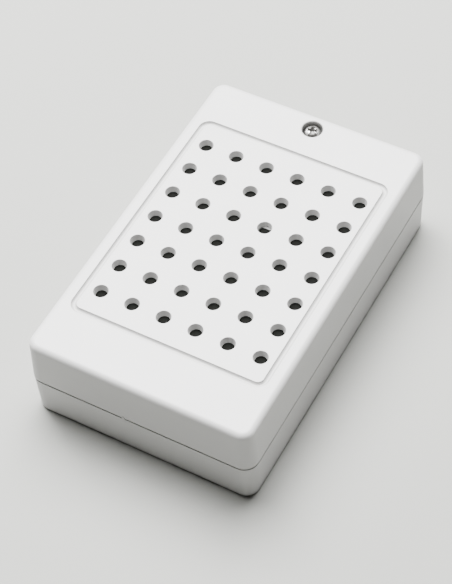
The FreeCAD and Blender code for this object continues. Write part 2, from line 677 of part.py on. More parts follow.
def back_case():
    """The back shell; its rim stops short of the cover's and leaves a narrow shadow gap."""
    rim = PARTING_HEIGHT - SHADOW_GAP_HEIGHT
    outer = chamfered_block(0, rim, base_inset, rim, 0, BACK_EDGE_RADIUS)
    land = case_block(rim, PARTING_HEIGHT, base_inset, SHADOW_GAP_DEPTH)
    cavity = case_block(FLOOR, PARTING_HEIGHT, base_inset, WALL)
    ridge_low = RIM_INSET + RIDGE_SETBACK
    ridge_root = PARTING_HEIGHT - RIDGE_HEIGHT
    ridge_top = PARTING_HEIGHT + RIDGE_HEIGHT
    ridge = case_block(ridge_root, ridge_top, lambda z: ridge_low).cut(
        case_block(ridge_root, ridge_top, lambda z: ridge_low + RIDGE_THICKNESS))
    boss_room = COVER_BOSS_RADIUS + BOSS_SIDE_GAP
    ridge = ridge.cut(box(-boss_room, boss_room, 0, CASE_LENGTH, PARTING_HEIGHT, ridge_top))
    inside = case_block(0, PARTING_HEIGHT, base_inset, WALL / 2)
    boss = rod(0, SCREW_Y, 0, PARTING_HEIGHT, BASE_BOSS_RADIUS)
    gussets = [centred_box(0, SCREW_Y - BASE_BOSS_RADIUS, WALL, 2 * BASE_BOSS_RADIUS, 0, PARTING_HEIGHT / 2),
               centred_box(0, SCREW_Y, 4 * BASE_BOSS_RADIUS, WALL, 0, PARTING_HEIGHT / 2)]
    solids = [outer.fuse(land).cut(cavity), ridge]
    solids += [part.common(inside) for part in [boss] + gussets + [lug(x) for x in hook_places()]]
    solids += [speaker_post(angle) for angle in POST_ANGLES_DEG]
    solids += [rod(x, y, 0, BOARD_BOTTOM, BOARD_POST_RADIUS) for x, y in BOARD_POSTS]
    solids += [rod(x, y, 0, FLOOR + PAD_HEIGHT, FIXING_PAD_RADIUS) for x, y in FIXING_PLACES]
    collar_radius = CABLE_HOLE_RADIUS + CABLE_COLLAR_WALL
    solids.append(rod(CABLE_HOLE_X, CABLE_HOLE_Y, 0, FLOOR + PAD_HEIGHT, collar_radius))
    cutters = [rod(0, SCREW_Y, BORE_FLOOR, PARTING_HEIGHT, SCREW_BORE_RADIUS),
               rod(CABLE_HOLE_X, CABLE_HOLE_Y, 0, FLOOR + PAD_HEIGHT, CABLE_HOLE_RADIUS)]
    cutters += [rod(x, y, 0, FLOOR + PAD_HEIGHT, FIXING_RADIUS) for x, y in FIXING_PLACES]
    cutters += [rod(x, y, BOARD_TOP - BOARD_SCREW_LENGTH - SMALL_BORE_SPARE, BOARD_BOTTOM, SMALL_BORE_RADIUS)
                for x, y in BOARD_POSTS]
    for angle in POST_ANGLES_DEG:
        centre = polar(POST_CIRCLE_RADIUS, angle)
        low = FLANGE_TOP + CLIP_THICKNESS - CLIP_SCREW_LENGTH - SMALL_BORE_SPARE
        cutters.append(rod(centre.x, centre.y, low, FLANGE_TOP, SMALL_BORE_RADIUS))
    return without(joined(solids), cutters)


def speaker_post(angle_deg):
    """A post beside the speaker, with a rib under the speaker's flange."""
    flange_bottom = FLANGE_TOP - SHEET
    post = rod(POST_CIRCLE_RADIUS, 0, 0, FLANGE_TOP, POST_RADIUS)
    rib = box(SPEAKER_RADIUS - POST_RIB_BITE, POST_CIRCLE_RADIUS, -POST_RIB_THICKNESS / 2,
              POST_RIB_THICKNESS / 2, 0, flange_bottom)
    return turned_about_centre(joined([post, rib]), angle_deg)


def cover_screw():
    seat = SEAT_HEIGHT
    head = screw_head(0, SCREW_Y, seat, HEAD_RADIUS, HEAD_RIM_HEIGHT, HEAD_HEIGHT)
    shank = threaded_shank(0, SCREW_Y, seat, SCREW_LENGTH, SCREW_CREST_RADIUS, SCREW_ROOT_RADIUS,
                           SCREW_PITCH, 2 * SCREW_PITCH)
    recess = cross_recess(0, SCREW_Y, seat + HEAD_HEIGHT, HEAD_RADIUS * 0.58, SCREW_CROSS_WIDTH,
                          HEAD_HEIGHT * 0.75, SCREW_CROSS_TURN_DEG)
    return joined([head, shank]).cut(recess)


def basket_outline():
    ledge_outer = BASKET_STEP_RADIUS + BASKET_LEDGE_WIDTH
    rim_inner = ROLL_RADIUS - ROLL_SIDE_GAP
    flange_bottom = FLANGE_TOP - SHEET
    ledge_bottom = LEDGE_TOP - SHEET
    shoulder = SHEET * math.tan(math.radians(22.5))
    inner = [(BASKET_BORE_RADIUS, PLATE_TOP), (BASKET_STEP_RADIUS + SHEET, PLATE_TOP),
             (BASKET_STEP_RADIUS + SHEET, ledge_bottom), (ledge_outer + shoulder, ledge_bottom),
             (rim_inner + shoulder, flange_bottom), (SPEAKER_RADIUS, flange_bottom)]
    outer = [(SPEAKER_RADIUS, FLANGE_TOP), (rim_inner, FLANGE_TOP), (ledge_outer, LEDGE_TOP),
             (BASKET_STEP_RADIUS, LEDGE_TOP), (BASKET_STEP_RADIUS, PLATE_TOP + SHEET),
             (BASKET_BORE_RADIUS, PLATE_TOP + SHEET)]
    return inner + outer


def speaker_basket():
    """The pressed steel frame, with windows through its sloping wall."""
    frame = turned(basket_outline())
    low = LEDGE_TOP + SHEET
    high = FLANGE_TOP - 2 * SHEET
    windows = []
    for index in range(BASKET_WINDOWS):
        wedge = Part.makeCylinder(SPEAKER_RADIUS, high - low, point(0, 0, low), UP, BASKET_WINDOW_DEG)
        start = STRIP_ANGLE_DEG + index * 360 / BASKET_WINDOWS - BASKET_WINDOW_DEG / 2
        windows.append(turned_about_centre(wedge, start))
    return without(frame, windows)


def speaker_front_plate():
    bore = WINDING_RADIUS + WINDING_GAP
    return tube(0, 0, MAGNET_TOP, PLATE_TOP, PLATE_RADIUS, bore)


def speaker_magnet():
    ring = tube(0, 0, YOKE_TOP, MAGNET_TOP, MAGNET_RADIUS, MAGNET_BORE_RADIUS)
    rims = [edge for height in (YOKE_TOP, MAGNET_TOP) for edge in level_edges(ring, height)
            if abs(edge.Curve.Radius - MAGNET_RADIUS) < 1e-4]
    return ring.makeChamfer(MAGNET_EDGE, rims)


def speaker_yoke():
    """The back plate and the pole that stands on it."""
    disc = rod(0, 0, YOKE_TOP - PLATE_THICKNESS, YOKE_TOP, YOKE_RADIUS)
    disc = disc.makeChamfer(MAGNET_EDGE, level_edges(disc, YOKE_TOP - PLATE_THICKNESS))
    pole = rod(0, 0, YOKE_TOP, PLATE_TOP, POLE_RADIUS)
    pole = pole.makeChamfer(MAGNET_EDGE, level_edges(pole, PLATE_TOP))
    return joined([disc, pole])


def cone_line(radius):
    """The height of the cone's upper face, flaring a little towards the rim."""
    share = (radius - FORMER_RADIUS) / (CONE_RIM_RADIUS - CONE_LAND - FORMER_RADIUS)
    return NECK_HEIGHT + (FLANGE_TOP - NECK_HEIGHT) * share ** CONE_FLARE


def speaker_cone():
    steps = 8
    span = CONE_RIM_RADIUS - CONE_LAND - FORMER_RADIUS
    radii = [FORMER_RADIUS + span * index / steps for index in range(steps + 1)]
    upper = [(radius, cone_line(radius)) for radius in radii] + [(CONE_RIM_RADIUS, FLANGE_TOP)]
    lower = [(radius, height - CONE_THICKNESS) for radius, height in reversed(upper)]
    return turned(upper + lower)


def speaker_surround():
    """The flexible rolled edge between the cone and the flange."""
    roll_steps = 10
    low = FLANGE_TOP
    middle = (CONE_RIM_RADIUS + ROLL_RADIUS) / 2
    half = (ROLL_RADIUS - CONE_RIM_RADIUS) / 2
    angles = [math.pi * index / roll_steps for index in range(roll_steps + 1)]
    lower = [(middle - half * math.cos(angle), low + ROLL_HEIGHT * math.sin(angle)) for angle in angles]
    upper = [(radius, height + SURROUND_SHEET) for radius, height in lower]
    inner_radius = CONE_RIM_RADIUS - SURROUND_LAND
    outline = [(inner_radius, low)] + lower + [(GASKET_RADIUS, low), (GASKET_RADIUS, low + SURROUND_SHEET)]
    return turned(outline + upper[::-1] + [(inner_radius, low + SURROUND_SHEET)])


def speaker_spider():
    """The corrugated disc that centres the coil."""
    steps = SPIDER_WAVES * 4
    start = FORMER_RADIUS + SPIDER_THICKNESS
    span = BASKET_STEP_RADIUS - SPIDER_THICKNESS - start
    waves = [(start + span * index / steps,
              LEDGE_TOP + SPIDER_WAVE * math.sin(math.pi * index / 2)) for index in range(steps + 1)]
    ledge_outer = BASKET_STEP_RADIUS + BASKET_LEDGE_WIDTH - SPIDER_THICKNESS
    lower = [(FORMER_RADIUS + GLUE_GAP, LEDGE_TOP)] + waves + [(ledge_outer, LEDGE_TOP)]
    upper = [(radius, height + SPIDER_THICKNESS) for radius, height in lower]
    return turned(lower + upper[::-1])


def dust_cap():
    """The shallow dome over the coil."""
    steps = 8
    foot = cone_line(DUST_CAP_RADIUS) + GLUE_GAP
    upper = []
    for index in range(steps + 1):
        angle = math.pi / 2 * index / steps
        upper.append((DUST_CAP_RADIUS * math.sin(angle), foot + DUST_CAP_THICKNESS
                      + DUST_CAP_HEIGHT * math.cos(angle)))
    shrink = 1 - DUST_CAP_THICKNESS / DUST_CAP_RADIUS
    lower = [(radius * shrink, height - DUST_CAP_THICKNESS) for radius, height in upper]
    return turned(upper + [(DUST_CAP_RADIUS, foot)] + lower[::-1])


def voice_coil_former():
    middle = PLATE_TOP - PLATE_THICKNESS / 2
    return tube(0, 0, middle - WINDING_HEIGHT * 0.7, NECK_HEIGHT, FORMER_RADIUS, FORMER_INNER_RADIUS)


def voice_coil_winding():
    low = PLATE_TOP - PLATE_THICKNESS / 2 - WINDING_HEIGHT / 2
    return tube(0, 0, low, low + WINDING_HEIGHT, WINDING_RADIUS, FORMER_RADIUS)


def speaker_gasket():
    low = FLANGE_TOP + SURROUND_SHEET
    return tube(0, 0, low, low + GASKET_HEIGHT, GASKET_RADIUS, ROLL_RADIUS)


def tag_offsets():
    return (-TAG_SPACING / 2, TAG_SPACING / 2)


def tag_strip():
    top = LEDGE_TOP - SHEET
    inner = BASKET_STEP_RADIUS + 2 * SHEET
    strip = box(inner, STRIP_OUTER_RADIUS, -STRIP_WIDTH / 2, STRIP_WIDTH / 2, top - STRIP_THICKNESS, top)
    return turned_about_centre(strip, STRIP_ANGLE_DEG)


def solder_tag(offset):
    """A brass tag under the strip with an eye for the wire."""
    top = LEDGE_TOP - SHEET - STRIP_THICKNESS
    low = top - TAG_THICKNESS
    end = STRIP_OUTER_RADIUS + TAG_REACH
    start = STRIP_OUTER_RADIUS - TAG_REACH
    bar = box(start, end - TAG_WIDTH / 2, offset - TAG_WIDTH / 2, offset + TAG_WIDTH / 2, low, top)
    tip = rod(end - TAG_WIDTH / 2, offset, low, top, TAG_WIDTH / 2)
    eye = rod(end - TAG_WIDTH / 2, offset, low, top, TAG_EYE_RADIUS)
    return turned_about_centre(joined([bar, tip]).cut(eye), STRIP_ANGLE_DEG)


def clip_plate(angle_deg):
    """A steel clip that holds the speaker's flange down on its post."""
    inner = GASKET_RADIUS + GASKET_TOP_GAP
    outer = POST_CIRCLE_RADIUS + CLIP_OUTER_OVERHANG
    clip = plate(outer - inner, CLIP_WIDTH, CLIP_CORNER, FLANGE_TOP, FLANGE_TOP + CLIP_THICKNESS,
                 (inner + outer) / 2, 0)
    hole = rod(POST_CIRCLE_RADIUS, 0, FLANGE_TOP, FLANGE_TOP + CLIP_THICKNESS, SMALL_BORE_RADIUS)
    return turned_about_centre(clip.cut(hole), angle_deg)


def clip_screws():
    screws = []
    for index, angle in enumerate(POST_ANGLES_DEG):
        centre = polar(POST_CIRCLE_RADIUS, angle)
        screws.append(small_screw(centre.x, centre.y, FLANGE_TOP + CLIP_THICKNESS, CLIP_SCREW_LENGTH,
                                  20 + 35 * index))
    return group(screws)


def terminal_way_x(way):
    return TERMINAL_X + (way - (WAYS - 1) / 2) * WAY_PITCH


def clamp_centre_y():
    return TERMINAL_Y_LOW + TERMINAL_DEPTH / 2 + CHAMBER_BACK_WALL / 2


def chip_leg_places():
    for side in (-1, 1):
        for leg in range(CHIP_LEGS_PER_SIDE):
            x = CHIP_X + (leg - (CHIP_LEGS_PER_SIDE - 1) / 2) * CHIP_LEG_PITCH
            yield x, CHIP_Y + side * CHIP_ROW_SPACING / 2


def resistor_leg_places():
    return [(RESISTOR_X + side * RESISTOR_SPAN / 2, y) for y in RESISTOR_ROWS_Y for side in (-1, 1)]


def diode_places():
    return [(DIODE_X + side * DIODE_PITCH / 2, BOARD_Y_LOW + DIODE_MARGIN + row * DIODE_ROW_PITCH)
            for row in (0, 1) for side in (-1, 1)]


def diode_leg_places():
    return [(x, y + side * DIODE_SPAN / 2) for x, y in diode_places() for side in (-1, 1)]


def electrolytic_leg_places():
    return [(ELECTROLYTIC_X + side * ELECTROLYTIC_LEG_SPACING / 2, ELECTROLYTIC_Y) for side in (-1, 1)]


def film_leg_places():
    return [(FILM_X, FILM_Y + side * FILM_LEG_SPACING / 2) for side in (-1, 1)]


def transistor_leg_places():
    return [(TRANSISTOR_X + step * TRANSISTOR_LEG_PITCH, TRANSISTOR_Y) for step in (-1, 0, 1)]


def trimmer_leg_places():
    reach = TRIMMER_SIDE / 4
    return [(TRIMMER_X - reach, TRIMMER_Y - reach), (TRIMMER_X + reach, TRIMMER_Y - reach),
            (TRIMMER_X, TRIMMER_Y + reach)]


def contact_leg_places():
    y = TERMINAL_Y_LOW + CHAMBER_BACK_WALL + CONTACT_THICKNESS / 2
    return [(terminal_way_x(way), y) for way in range(WAYS)]


def wire_pad_places():
    return [(x, WIRE_PAD_Y) for x in WIRE_PADS_X]


def leg_places():
    """Every place where a round leg passes through the board."""
    return (list(chip_leg_places()) + resistor_leg_places() + diode_leg_places() + electrolytic_leg_places()
            + film_leg_places() + transistor_leg_places() + trimmer_leg_places())


def circuit_board():
    """The board, notched beside the lower wall fixing and kept clear of the speaker's posts."""
    middle = BOARD_Y_LOW + BOARD_LENGTH / 2
    sheet = plate(BOARD_WIDTH, BOARD_LENGTH, BOARD_CORNER, BOARD_BOTTOM, BOARD_TOP, 0, middle)
    fixing_y = FIXING_PLACES[0][1]
    cutters = [rod(0, fixing_y, BOARD_BOTTOM, BOARD_TOP, NOTCH_RADIUS),
               box(-NOTCH_RADIUS, NOTCH_RADIUS, fixing_y, fixing_y + BOARD_LENGTH, BOARD_BOTTOM, BOARD_TOP)]
    cutters += [rod(x, y, BOARD_BOTTOM, BOARD_TOP, BOARD_HOLE_RADIUS) for x, y in BOARD_POSTS]
    for angle in POST_ANGLES_DEG:
        post = polar(POST_CIRCLE_RADIUS, angle)
        cutters.append(rod(post.x, post.y, BOARD_BOTTOM, BOARD_TOP, POST_RADIUS + SPEAKER_POST_ROOM))
    leg_hole = LEG_RADIUS + LEG_HOLE_CLEARANCE
    cutters += [rod(x, y, BOARD_BOTTOM, BOARD_TOP, leg_hole) for x, y in leg_places()]
    contact_hole = CONTACT_WIDTH / 2 + LEG_HOLE_CLEARANCE
    cutters += [rod(x, y, BOARD_BOTTOM, BOARD_TOP, contact_hole) for x, y in contact_leg_places()]
    wire_hole = WIRE_RADIUS * 0.7
    cutters += [rod(x, y, BOARD_BOTTOM, BOARD_TOP, wire_hole) for x, y in wire_pad_places()]
    return without(sheet, cutters)


def board_screws():
    return group([small_screw(x, y, BOARD_TOP, BOARD_SCREW_LENGTH, 30 * index)
                  for index, (x, y) in enumerate(BOARD_POSTS)])


def solder_joints():
    """Solder cones round the legs under the board, and two over the wire pads."""
    top = BOARD_BOTTOM
    tail = top - LEG_TAIL
    cones = []
    for places, radius in ((leg_places(), LEG_RADIUS), (contact_leg_places(), CONTACT_WIDTH / 2)):
        for x, y in places:
            cone = Part.makeCone(radius + LEG_HOLE_CLEARANCE, SOLDER_RADIUS, SOLDER_HEIGHT,
                                 point(x, y, top - SOLDER_HEIGHT))
            cones.append(cone.cut(rod(x, y, tail, top, radius)))
    for x, y in wire_pad_places():
        cones.append(rod(x, y, BOARD_TOP, BOARD_TOP + SOLDER_HEIGHT / 3, SOLDER_RADIUS))
    return group(cones)


def terminal_levels():
    floor = BOARD_TOP + CHAMBER_FLOOR
    return floor, floor + CHAMBER_HEIGHT, BOARD_TOP + TERMINAL_HEIGHT


def terminal_block():
    """The insulating body: a chamber for each clamp and a well over it for the screw."""
    floor, ceiling, top = terminal_levels()
    x_low = TERMINAL_X - WAYS * WAY_PITCH / 2
    y_high = TERMINAL_Y_LOW + TERMINAL_DEPTH
    body = box(x_low, x_low + WAYS * WAY_PITCH, TERMINAL_Y_LOW, y_high, BOARD_TOP, top)
    front_top = [edge for edge in level_edges(body, top)
                 if abs(edge.BoundBox.YMin - y_high) < 1e-4 and abs(edge.BoundBox.YMax - y_high) < 1e-4]
    body = body.makeChamfer(TERMINAL_TOP_CHAMFER, front_top)
    cutters = []
    y = clamp_centre_y()
    for way in range(WAYS):
        x = terminal_way_x(way)
        half = CHAMBER_WIDTH / 2
        cutters.append(box(x - half, x + half, TERMINAL_Y_LOW + CHAMBER_BACK_WALL, y_high, floor, ceiling))
        cutters.append(rod(x, y, ceiling, top, TERMINAL_SCREW_HEAD_RADIUS + SCREW_HEAD_SIDE_GAP))
    for x, y in contact_leg_places():
        cutters.append(rod(x, y, BOARD_TOP, floor, CONTACT_WIDTH / 2 + LEG_HOLE_CLEARANCE))
    return without(body, cutters)


def contact_levels():
    low = terminal_levels()[0] + CONTACT_RISE
    return low, low + CONTACT_THICKNESS


def terminal_contacts():
    """Fixed strips that each clamp presses a wire against; each has a leg through the board."""
    low, high = contact_levels()
    strips = []
    for x, y in contact_leg_places():
        half = CONTACT_WIDTH / 2
        tongue = box(x - half, x + half, y, clamp_centre_y() + CLAMP_DEPTH / 2, low, high)
        leg_half = CONTACT_THICKNESS / 2
        leg = box(x - half * 0.8, x + half * 0.8, y - leg_half, y + leg_half, BOARD_BOTTOM - LEG_TAIL, high)
        strips.append(joined([tongue, leg]))
    return group(strips)


def terminal_clamp(way):
    """A box clamp with a threaded top, which the screw lifts against the contact."""
    x = terminal_way_x(way)
    y = clamp_centre_y()
    width = CHAMBER_WIDTH - 2 * CLAMP_SIDE_GAP
    low = terminal_levels()[0] + CLAMP_LIFT
    high = low + CLAMP_HEIGHT
    shell = centred_box(x, y, width, CLAMP_DEPTH, low, high)
    opening = centred_box(x, y, width - 2 * CLAMP_SHEET, CLAMP_DEPTH, low + CLAMP_SHEET, high - CLAMP_TOP)
    thread = rod(x, y, high - CLAMP_TOP, high, TERMINAL_SCREW_CREST_RADIUS + TERMINAL_RUNNING_GAP)
    return without(shell, [opening, thread])


def terminal_screw(way):
    x = terminal_way_x(way)
    y = clamp_centre_y()
    seat = terminal_levels()[1] + TERMINAL_RUNNING_GAP
    top = seat + TERMINAL_SCREW_HEAD_HEIGHT
    head = rod(x, y, seat, top, TERMINAL_SCREW_HEAD_RADIUS)
    head = head.makeChamfer(TERMINAL_SCREW_EDGE, level_edges(head, top))
    slot = centred_box(x, y, 2 * TERMINAL_SCREW_HEAD_RADIUS, TERMINAL_SLOT_WIDTH,
                       top - TERMINAL_SLOT_DEPTH, top)
    slot.rotate(point(x, y, 0), UP, 25 * (way + 1))
    length = seat - contact_levels()[1] - TERMINAL_RUNNING_GAP
    shank = threaded_shank(x, y, seat, length, TERMINAL_SCREW_CREST_RADIUS, TERMINAL_SCREW_ROOT_RADIUS,
                           TERMINAL_SCREW_PITCH, TERMINAL_SCREW_PITCH / 2)
    return joined([head, shank]).cut(slot)


def trimmer_levels():
    top = BOARD_TOP + TRIMMER_HEIGHT
    return top, top - ROTOR_DEPTH


def trimmer_body():
    top, seat = trimmer_levels()
    body = plate(TRIMMER_SIDE, TRIMMER_SIDE, TRIMMER_CORNER, BOARD_TOP, top, TRIMMER_X, TRIMMER_Y)
    well = rod(TRIMMER_X, TRIMMER_Y, seat, top, ROTOR_RADIUS + ROTOR_GAP)
    stem = rod(TRIMMER_X, TRIMMER_Y, BOARD_TOP, seat, ROTOR_STEM_RADIUS + ROTOR_GAP)
    return without(body, [well, stem])


def trimmer_rotor():
    """The turning disc with its cross slot and pointer notch."""
    top, seat = trimmer_levels()
    disc_top = top + ROTOR_PROUD
    seat_gap = seat + ROTOR_GAP
    disc = rod(TRIMMER_X, TRIMMER_Y, seat_gap, disc_top, ROTOR_RADIUS)
    stem = rod(TRIMMER_X, TRIMMER_Y, BOARD_TOP + ROTOR_GAP, seat_gap, ROTOR_STEM_RADIUS)
    slot_reach = ROTOR_RADIUS * 0.62
    low = disc_top - ROTOR_DEPTH * 0.6
    slots = [centred_box(TRIMMER_X, TRIMMER_Y, 2 * slot_reach, ROTOR_SLOT_WIDTH, low, disc_top),
             centred_box(TRIMMER_X, TRIMMER_Y, ROTOR_SLOT_WIDTH, 2 * slot_reach, low, disc_top),
             centred_box(TRIMMER_X, TRIMMER_Y + ROTOR_RADIUS * 0.8, ROTOR_SLOT_WIDTH, ROTOR_RADIUS * 0.5,
                         disc_top - ROTOR_PROUD / 2, disc_top)]
    return without(joined([disc, stem]), slots)


def straight_legs(places, top):
    return group([rod(x, y, BOARD_BOTTOM - LEG_TAIL, top, LEG_RADIUS) for x, y in places])


def electrolytic_capacitor():
    """An upright can with a rolled groove near its foot and a lid sunk inside its rim."""
    radius = ELECTROLYTIC_RADIUS
    edge = ELECTROLYTIC_EDGE
    groove = radius - ELECTROLYTIC_GROOVE_DEPTH
    low = BOARD_TOP
    middle = low + ELECTROLYTIC_GROOVE_HEIGHT
    top = low + ELECTROLYTIC_HEIGHT
    lid = top - ELECTROLYTIC_LID_DEPTH
    outline = [(0, low), (radius - edge, low), (radius, low + edge),
               (radius, middle - ELECTROLYTIC_GROOVE_HALF), (groove, middle),
               (radius, middle + ELECTROLYTIC_GROOVE_HALF), (radius, top - edge), (radius - edge, top),
               (radius - 2 * edge, top), (radius - 2 * edge - ELECTROLYTIC_LID_DEPTH, lid), (0, lid)]
    return turned(outline, ELECTROLYTIC_X, ELECTROLYTIC_Y)


def tone_chip():
    low = BOARD_TOP + CHIP_STANDOFF
    top = low + CHIP_HEIGHT
    body = centred_box(CHIP_X, CHIP_Y, CHIP_LENGTH, CHIP_WIDTH, low, top)
    body = body.makeChamfer(CHIP_EDGE, level_edges(body, top))
    return body.cut(rod(CHIP_X - CHIP_LENGTH / 2, CHIP_Y, top - CHIP_NOTCH_DEPTH, top, CHIP_NOTCH_RADIUS))


def chip_legs():
    """Flat legs that leave the chip's sides and turn down through the board."""
    middle = BOARD_TOP + CHIP_STANDOFF + CHIP_HEIGHT / 2
    arm_low = middle - CHIP_LEG_THICKNESS / 2
    arm_high = middle + CHIP_LEG_THICKNESS / 2
    pin_top = BOARD_TOP + CHIP_STANDOFF / 2
    half = CHIP_LEG_WIDTH / 2
    legs = []
    for x, y in chip_leg_places():
        outward = 1 if y > CHIP_Y else -1
        side = CHIP_Y + outward * CHIP_WIDTH / 2
        arm = box(x - half, x + half, min(side, y), max(side, y), arm_low, arm_high)
        blade = centred_box(x, y, CHIP_LEG_WIDTH, CHIP_LEG_THICKNESS, pin_top, arm_high)
        pin = rod(x, y, BOARD_BOTTOM - LEG_TAIL, pin_top, LEG_RADIUS)
        legs.append(joined([arm, blade, pin]))
    return group(legs)


def lying_part(centre, direction, length, radius, waist):
    """A part that lies on the board: a round body with slightly swollen ends."""
    half = length / 2
    outline = [(0, -half), (radius * 0.75, -half), (radius, -half * 0.86), (radius, -half * 0.6),
               (waist, -half * 0.45), (waist, half * 0.45), (radius, half * 0.6), (radius, half * 0.86),
               (radius * 0.75, half), (0, half)]
    body = turned(outline)
    body.rotate(point(0, 0, 0), UP.cross(direction), 90)
    body.translate(centre)
    return body


def lying_leads(centre, direction, length, span):
    """Two leads that run out of a lying body and turn down into the board."""
    leads = []
    for side in (-1, 1):
        start = centre + direction * (side * length / 2)
        bend = centre + direction * (side * span / 2)
        arm = rod_along(start, bend, LEG_RADIUS)
        knee = Part.makeSphere(LEG_RADIUS, bend)
        leg = rod(bend.x, bend.y, BOARD_BOTTOM - LEG_TAIL, bend.z, LEG_RADIUS)
        leads.append(joined([arm, knee, leg]))
    return leads


def resistor_centres():
    return [point(RESISTOR_X, y, BOARD_TOP + RESISTOR_RADIUS + PART_LIFT) for y in RESISTOR_ROWS_Y]


def diode_centres():
    return [point(x, y, BOARD_TOP + DIODE_RADIUS + PART_LIFT) for x, y in diode_places()]


def resistors():
    waist = RESISTOR_RADIUS * 0.86
    return group([lying_part(centre, point(1, 0, 0), RESISTOR_LENGTH, RESISTOR_RADIUS, waist)
                  for centre in resistor_centres()])


def resistor_leads():
    leads = [lying_leads(centre, point(1, 0, 0), RESISTOR_LENGTH, RESISTOR_SPAN)
             for centre in resistor_centres()]
    return group(sum(leads, []))


def diodes():
    return group([lying_part(centre, point(0, 1, 0), DIODE_LENGTH, DIODE_RADIUS, DIODE_RADIUS)
                  for centre in diode_centres()])


def diode_leads():
    leads = [lying_leads(centre, point(0, 1, 0), DIODE_LENGTH, DIODE_SPAN) for centre in diode_centres()]
    return group(sum(leads, []))


def film_capacitor():
    low = BOARD_TOP + PART_LIFT
    body = centred_box(FILM_X, FILM_Y, FILM_WIDTH, FILM_LENGTH, low, low + FILM_HEIGHT)
    rounded = [edge for edge in body.Edges if edge.BoundBox.ZMax > low + FILM_EDGE_ROUNDING]
    return body.makeFillet(FILM_EDGE_ROUNDING, rounded)


def transistor():
    """A small moulded transistor, round at the back and flat in front."""
    low = BOARD_TOP + TRANSISTOR_STANDOFF
    body = rod(TRANSISTOR_X, TRANSISTOR_Y, low, low + TRANSISTOR_HEIGHT, TRANSISTOR_RADIUS)
    flat = TRANSISTOR_Y + TRANSISTOR_RADIUS * 0.6
    reach = 2 * TRANSISTOR_RADIUS
    return body.cut(box(TRANSISTOR_X - reach, TRANSISTOR_X + reach, flat, flat + reach, low,
                        low + TRANSISTOR_HEIGHT))


def wire_route(pad_x, offset):
    """Hand-chosen points from a board pad up to the eye of a solder tag."""
    tag_low = LEDGE_TOP - SHEET - STRIP_THICKNESS - TAG_THICKNESS
    eye_radius = STRIP_OUTER_RADIUS + TAG_REACH - TAG_WIDTH / 2
    eye = FreeCAD.Rotation(UP, STRIP_ANGLE_DEG).multVec(point(eye_radius, offset, tag_low))
    pad = point(pad_x, WIRE_PAD_Y, BOARD_TOP + SOLDER_HEIGHT / 3)
    straight = (eye.z - pad.z) / 3
    return [pad, pad + UP * straight, eye - UP * straight, eye]


def tinsel_leads():
    """Two thin flexible leads from the tags through the basket windows to the cone."""
    leads = []
    for offset in tag_offsets():
        turn = FreeCAD.Rotation(UP, STRIP_ANGLE_DEG)
        start = point(TINSEL_START, offset, LEDGE_TOP - SHEET + TINSEL_RADIUS)
        end_radius = (DUST_CAP_RADIUS + CONE_RIM_RADIUS) / 2
        end_height = cone_line(end_radius) - CONE_THICKNESS - TINSEL_RADIUS * 1.5
        end = point(end_radius, offset * TINSEL_TAPER, end_height)
        middle = point((TINSEL_START + end_radius) / 2 + TINSEL_BOW_OUT, offset,
                       (start.z + end.z) / 2 + TINSEL_BOW_UP)
        arc = Part.Arc(turn.multVec(start), turn.multVec(middle), turn.multVec(end)).toShape()
        tangent = arc.tangentAt(arc.FirstParameter)
        profile = Part.Wire([Part.makeCircle(TINSEL_RADIUS, arc.valueAt(arc.FirstParameter), tangent)])
        leads.append(Part.Wire([arc]).makePipeShell([profile], True, True))
    return group(leads)


def all_nodes():
    nodes = {
        "front_cover": front_cover(),
        "dust_cloth": dust_cloth(),
        "cover_screw": cover_screw(),
        "back_case": back_case(),
        "speaker_basket": speaker_basket(),
        "speaker_front_plate": speaker_front_plate(),
        "speaker_magnet": speaker_magnet(),
        "speaker_yoke": speaker_yoke(),
        "speaker_cone": speaker_cone(),
        "speaker_dust_cap": dust_cap(),
        "speaker_surround": speaker_surround(),
        "speaker_spider": speaker_spider(),
        "voice_coil_former": voice_coil_former(),
        "voice_coil_winding": voice_coil_winding(),
        "speaker_gasket": speaker_gasket(),
        "speaker_tag_strip": tag_strip(),
        "speaker_tags": group([solder_tag(offset) for offset in tag_offsets()]),
        "tinsel_leads": tinsel_leads(),
        "speaker_clip_screws": clip_screws(),
        "circuit_board": circuit_board(),
        "board_screws": board_screws(),
        "solder_joints": solder_joints(),
        "terminal_block": terminal_block(),
        "terminal_contacts": terminal_contacts(),
        "trimmer_body": trimmer_body(),
        "trimmer_rotor": trimmer_rotor(),
        "trimmer_pins": straight_legs(trimmer_leg_places(), BOARD_TOP),
        "electrolytic_capacitor": electrolytic_capacitor(),
        "electrolytic_leads": straight_legs(electrolytic_leg_places(), BOARD_TOP),
        "tone_chip": tone_chip(),
        "chip_legs": chip_legs(),
        "resistors": resistors(),
        "resistor_leads": resistor_leads(),
        "diodes": diodes(),
        "diode_leads": diode_leads(),
        "film_capacitor": film_capacitor(),
        "film_capacitor_leads": straight_legs(film_leg_places(), BOARD_TOP + PART_LIFT),
        "transistor": transistor(),
        "transistor_legs": straight_legs(transistor_leg_places(), BOARD_TOP + TRANSISTOR_STANDOFF),
    }
    for number, angle in enumerate(POST_ANGLES_DEG, 1):
        nodes[f"speaker_clip_{number}"] = clip_plate(angle)
    for way in range(WAYS):
        nodes[f"terminal_clamp_{way + 1}"] = terminal_clamp(way)
        nodes[f"terminal_screw_{way + 1}"] = terminal_screw(way)
    for colour, pad_x, offset in zip(("red", "black"), WIRE_PADS_X, tag_offsets()):
        nodes[f"speaker_wire_{colour}"] = rounded_path_tube(wire_route(pad_x, offset), WIRE_RADIUS)
    return nodes


def main():
    os.makedirs("parts", exist_ok=True)
    for name, shape in all_nodes().items():
        print(name, len(shape.Solids), round(shape.Volume, 2), shape.isValid())
        shape.exportStep(f"parts/{name}.step")


main()
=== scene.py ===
"""Looks of the intercom extension sounder: finishes, fine pieces, stage, lights and camera."""
import math

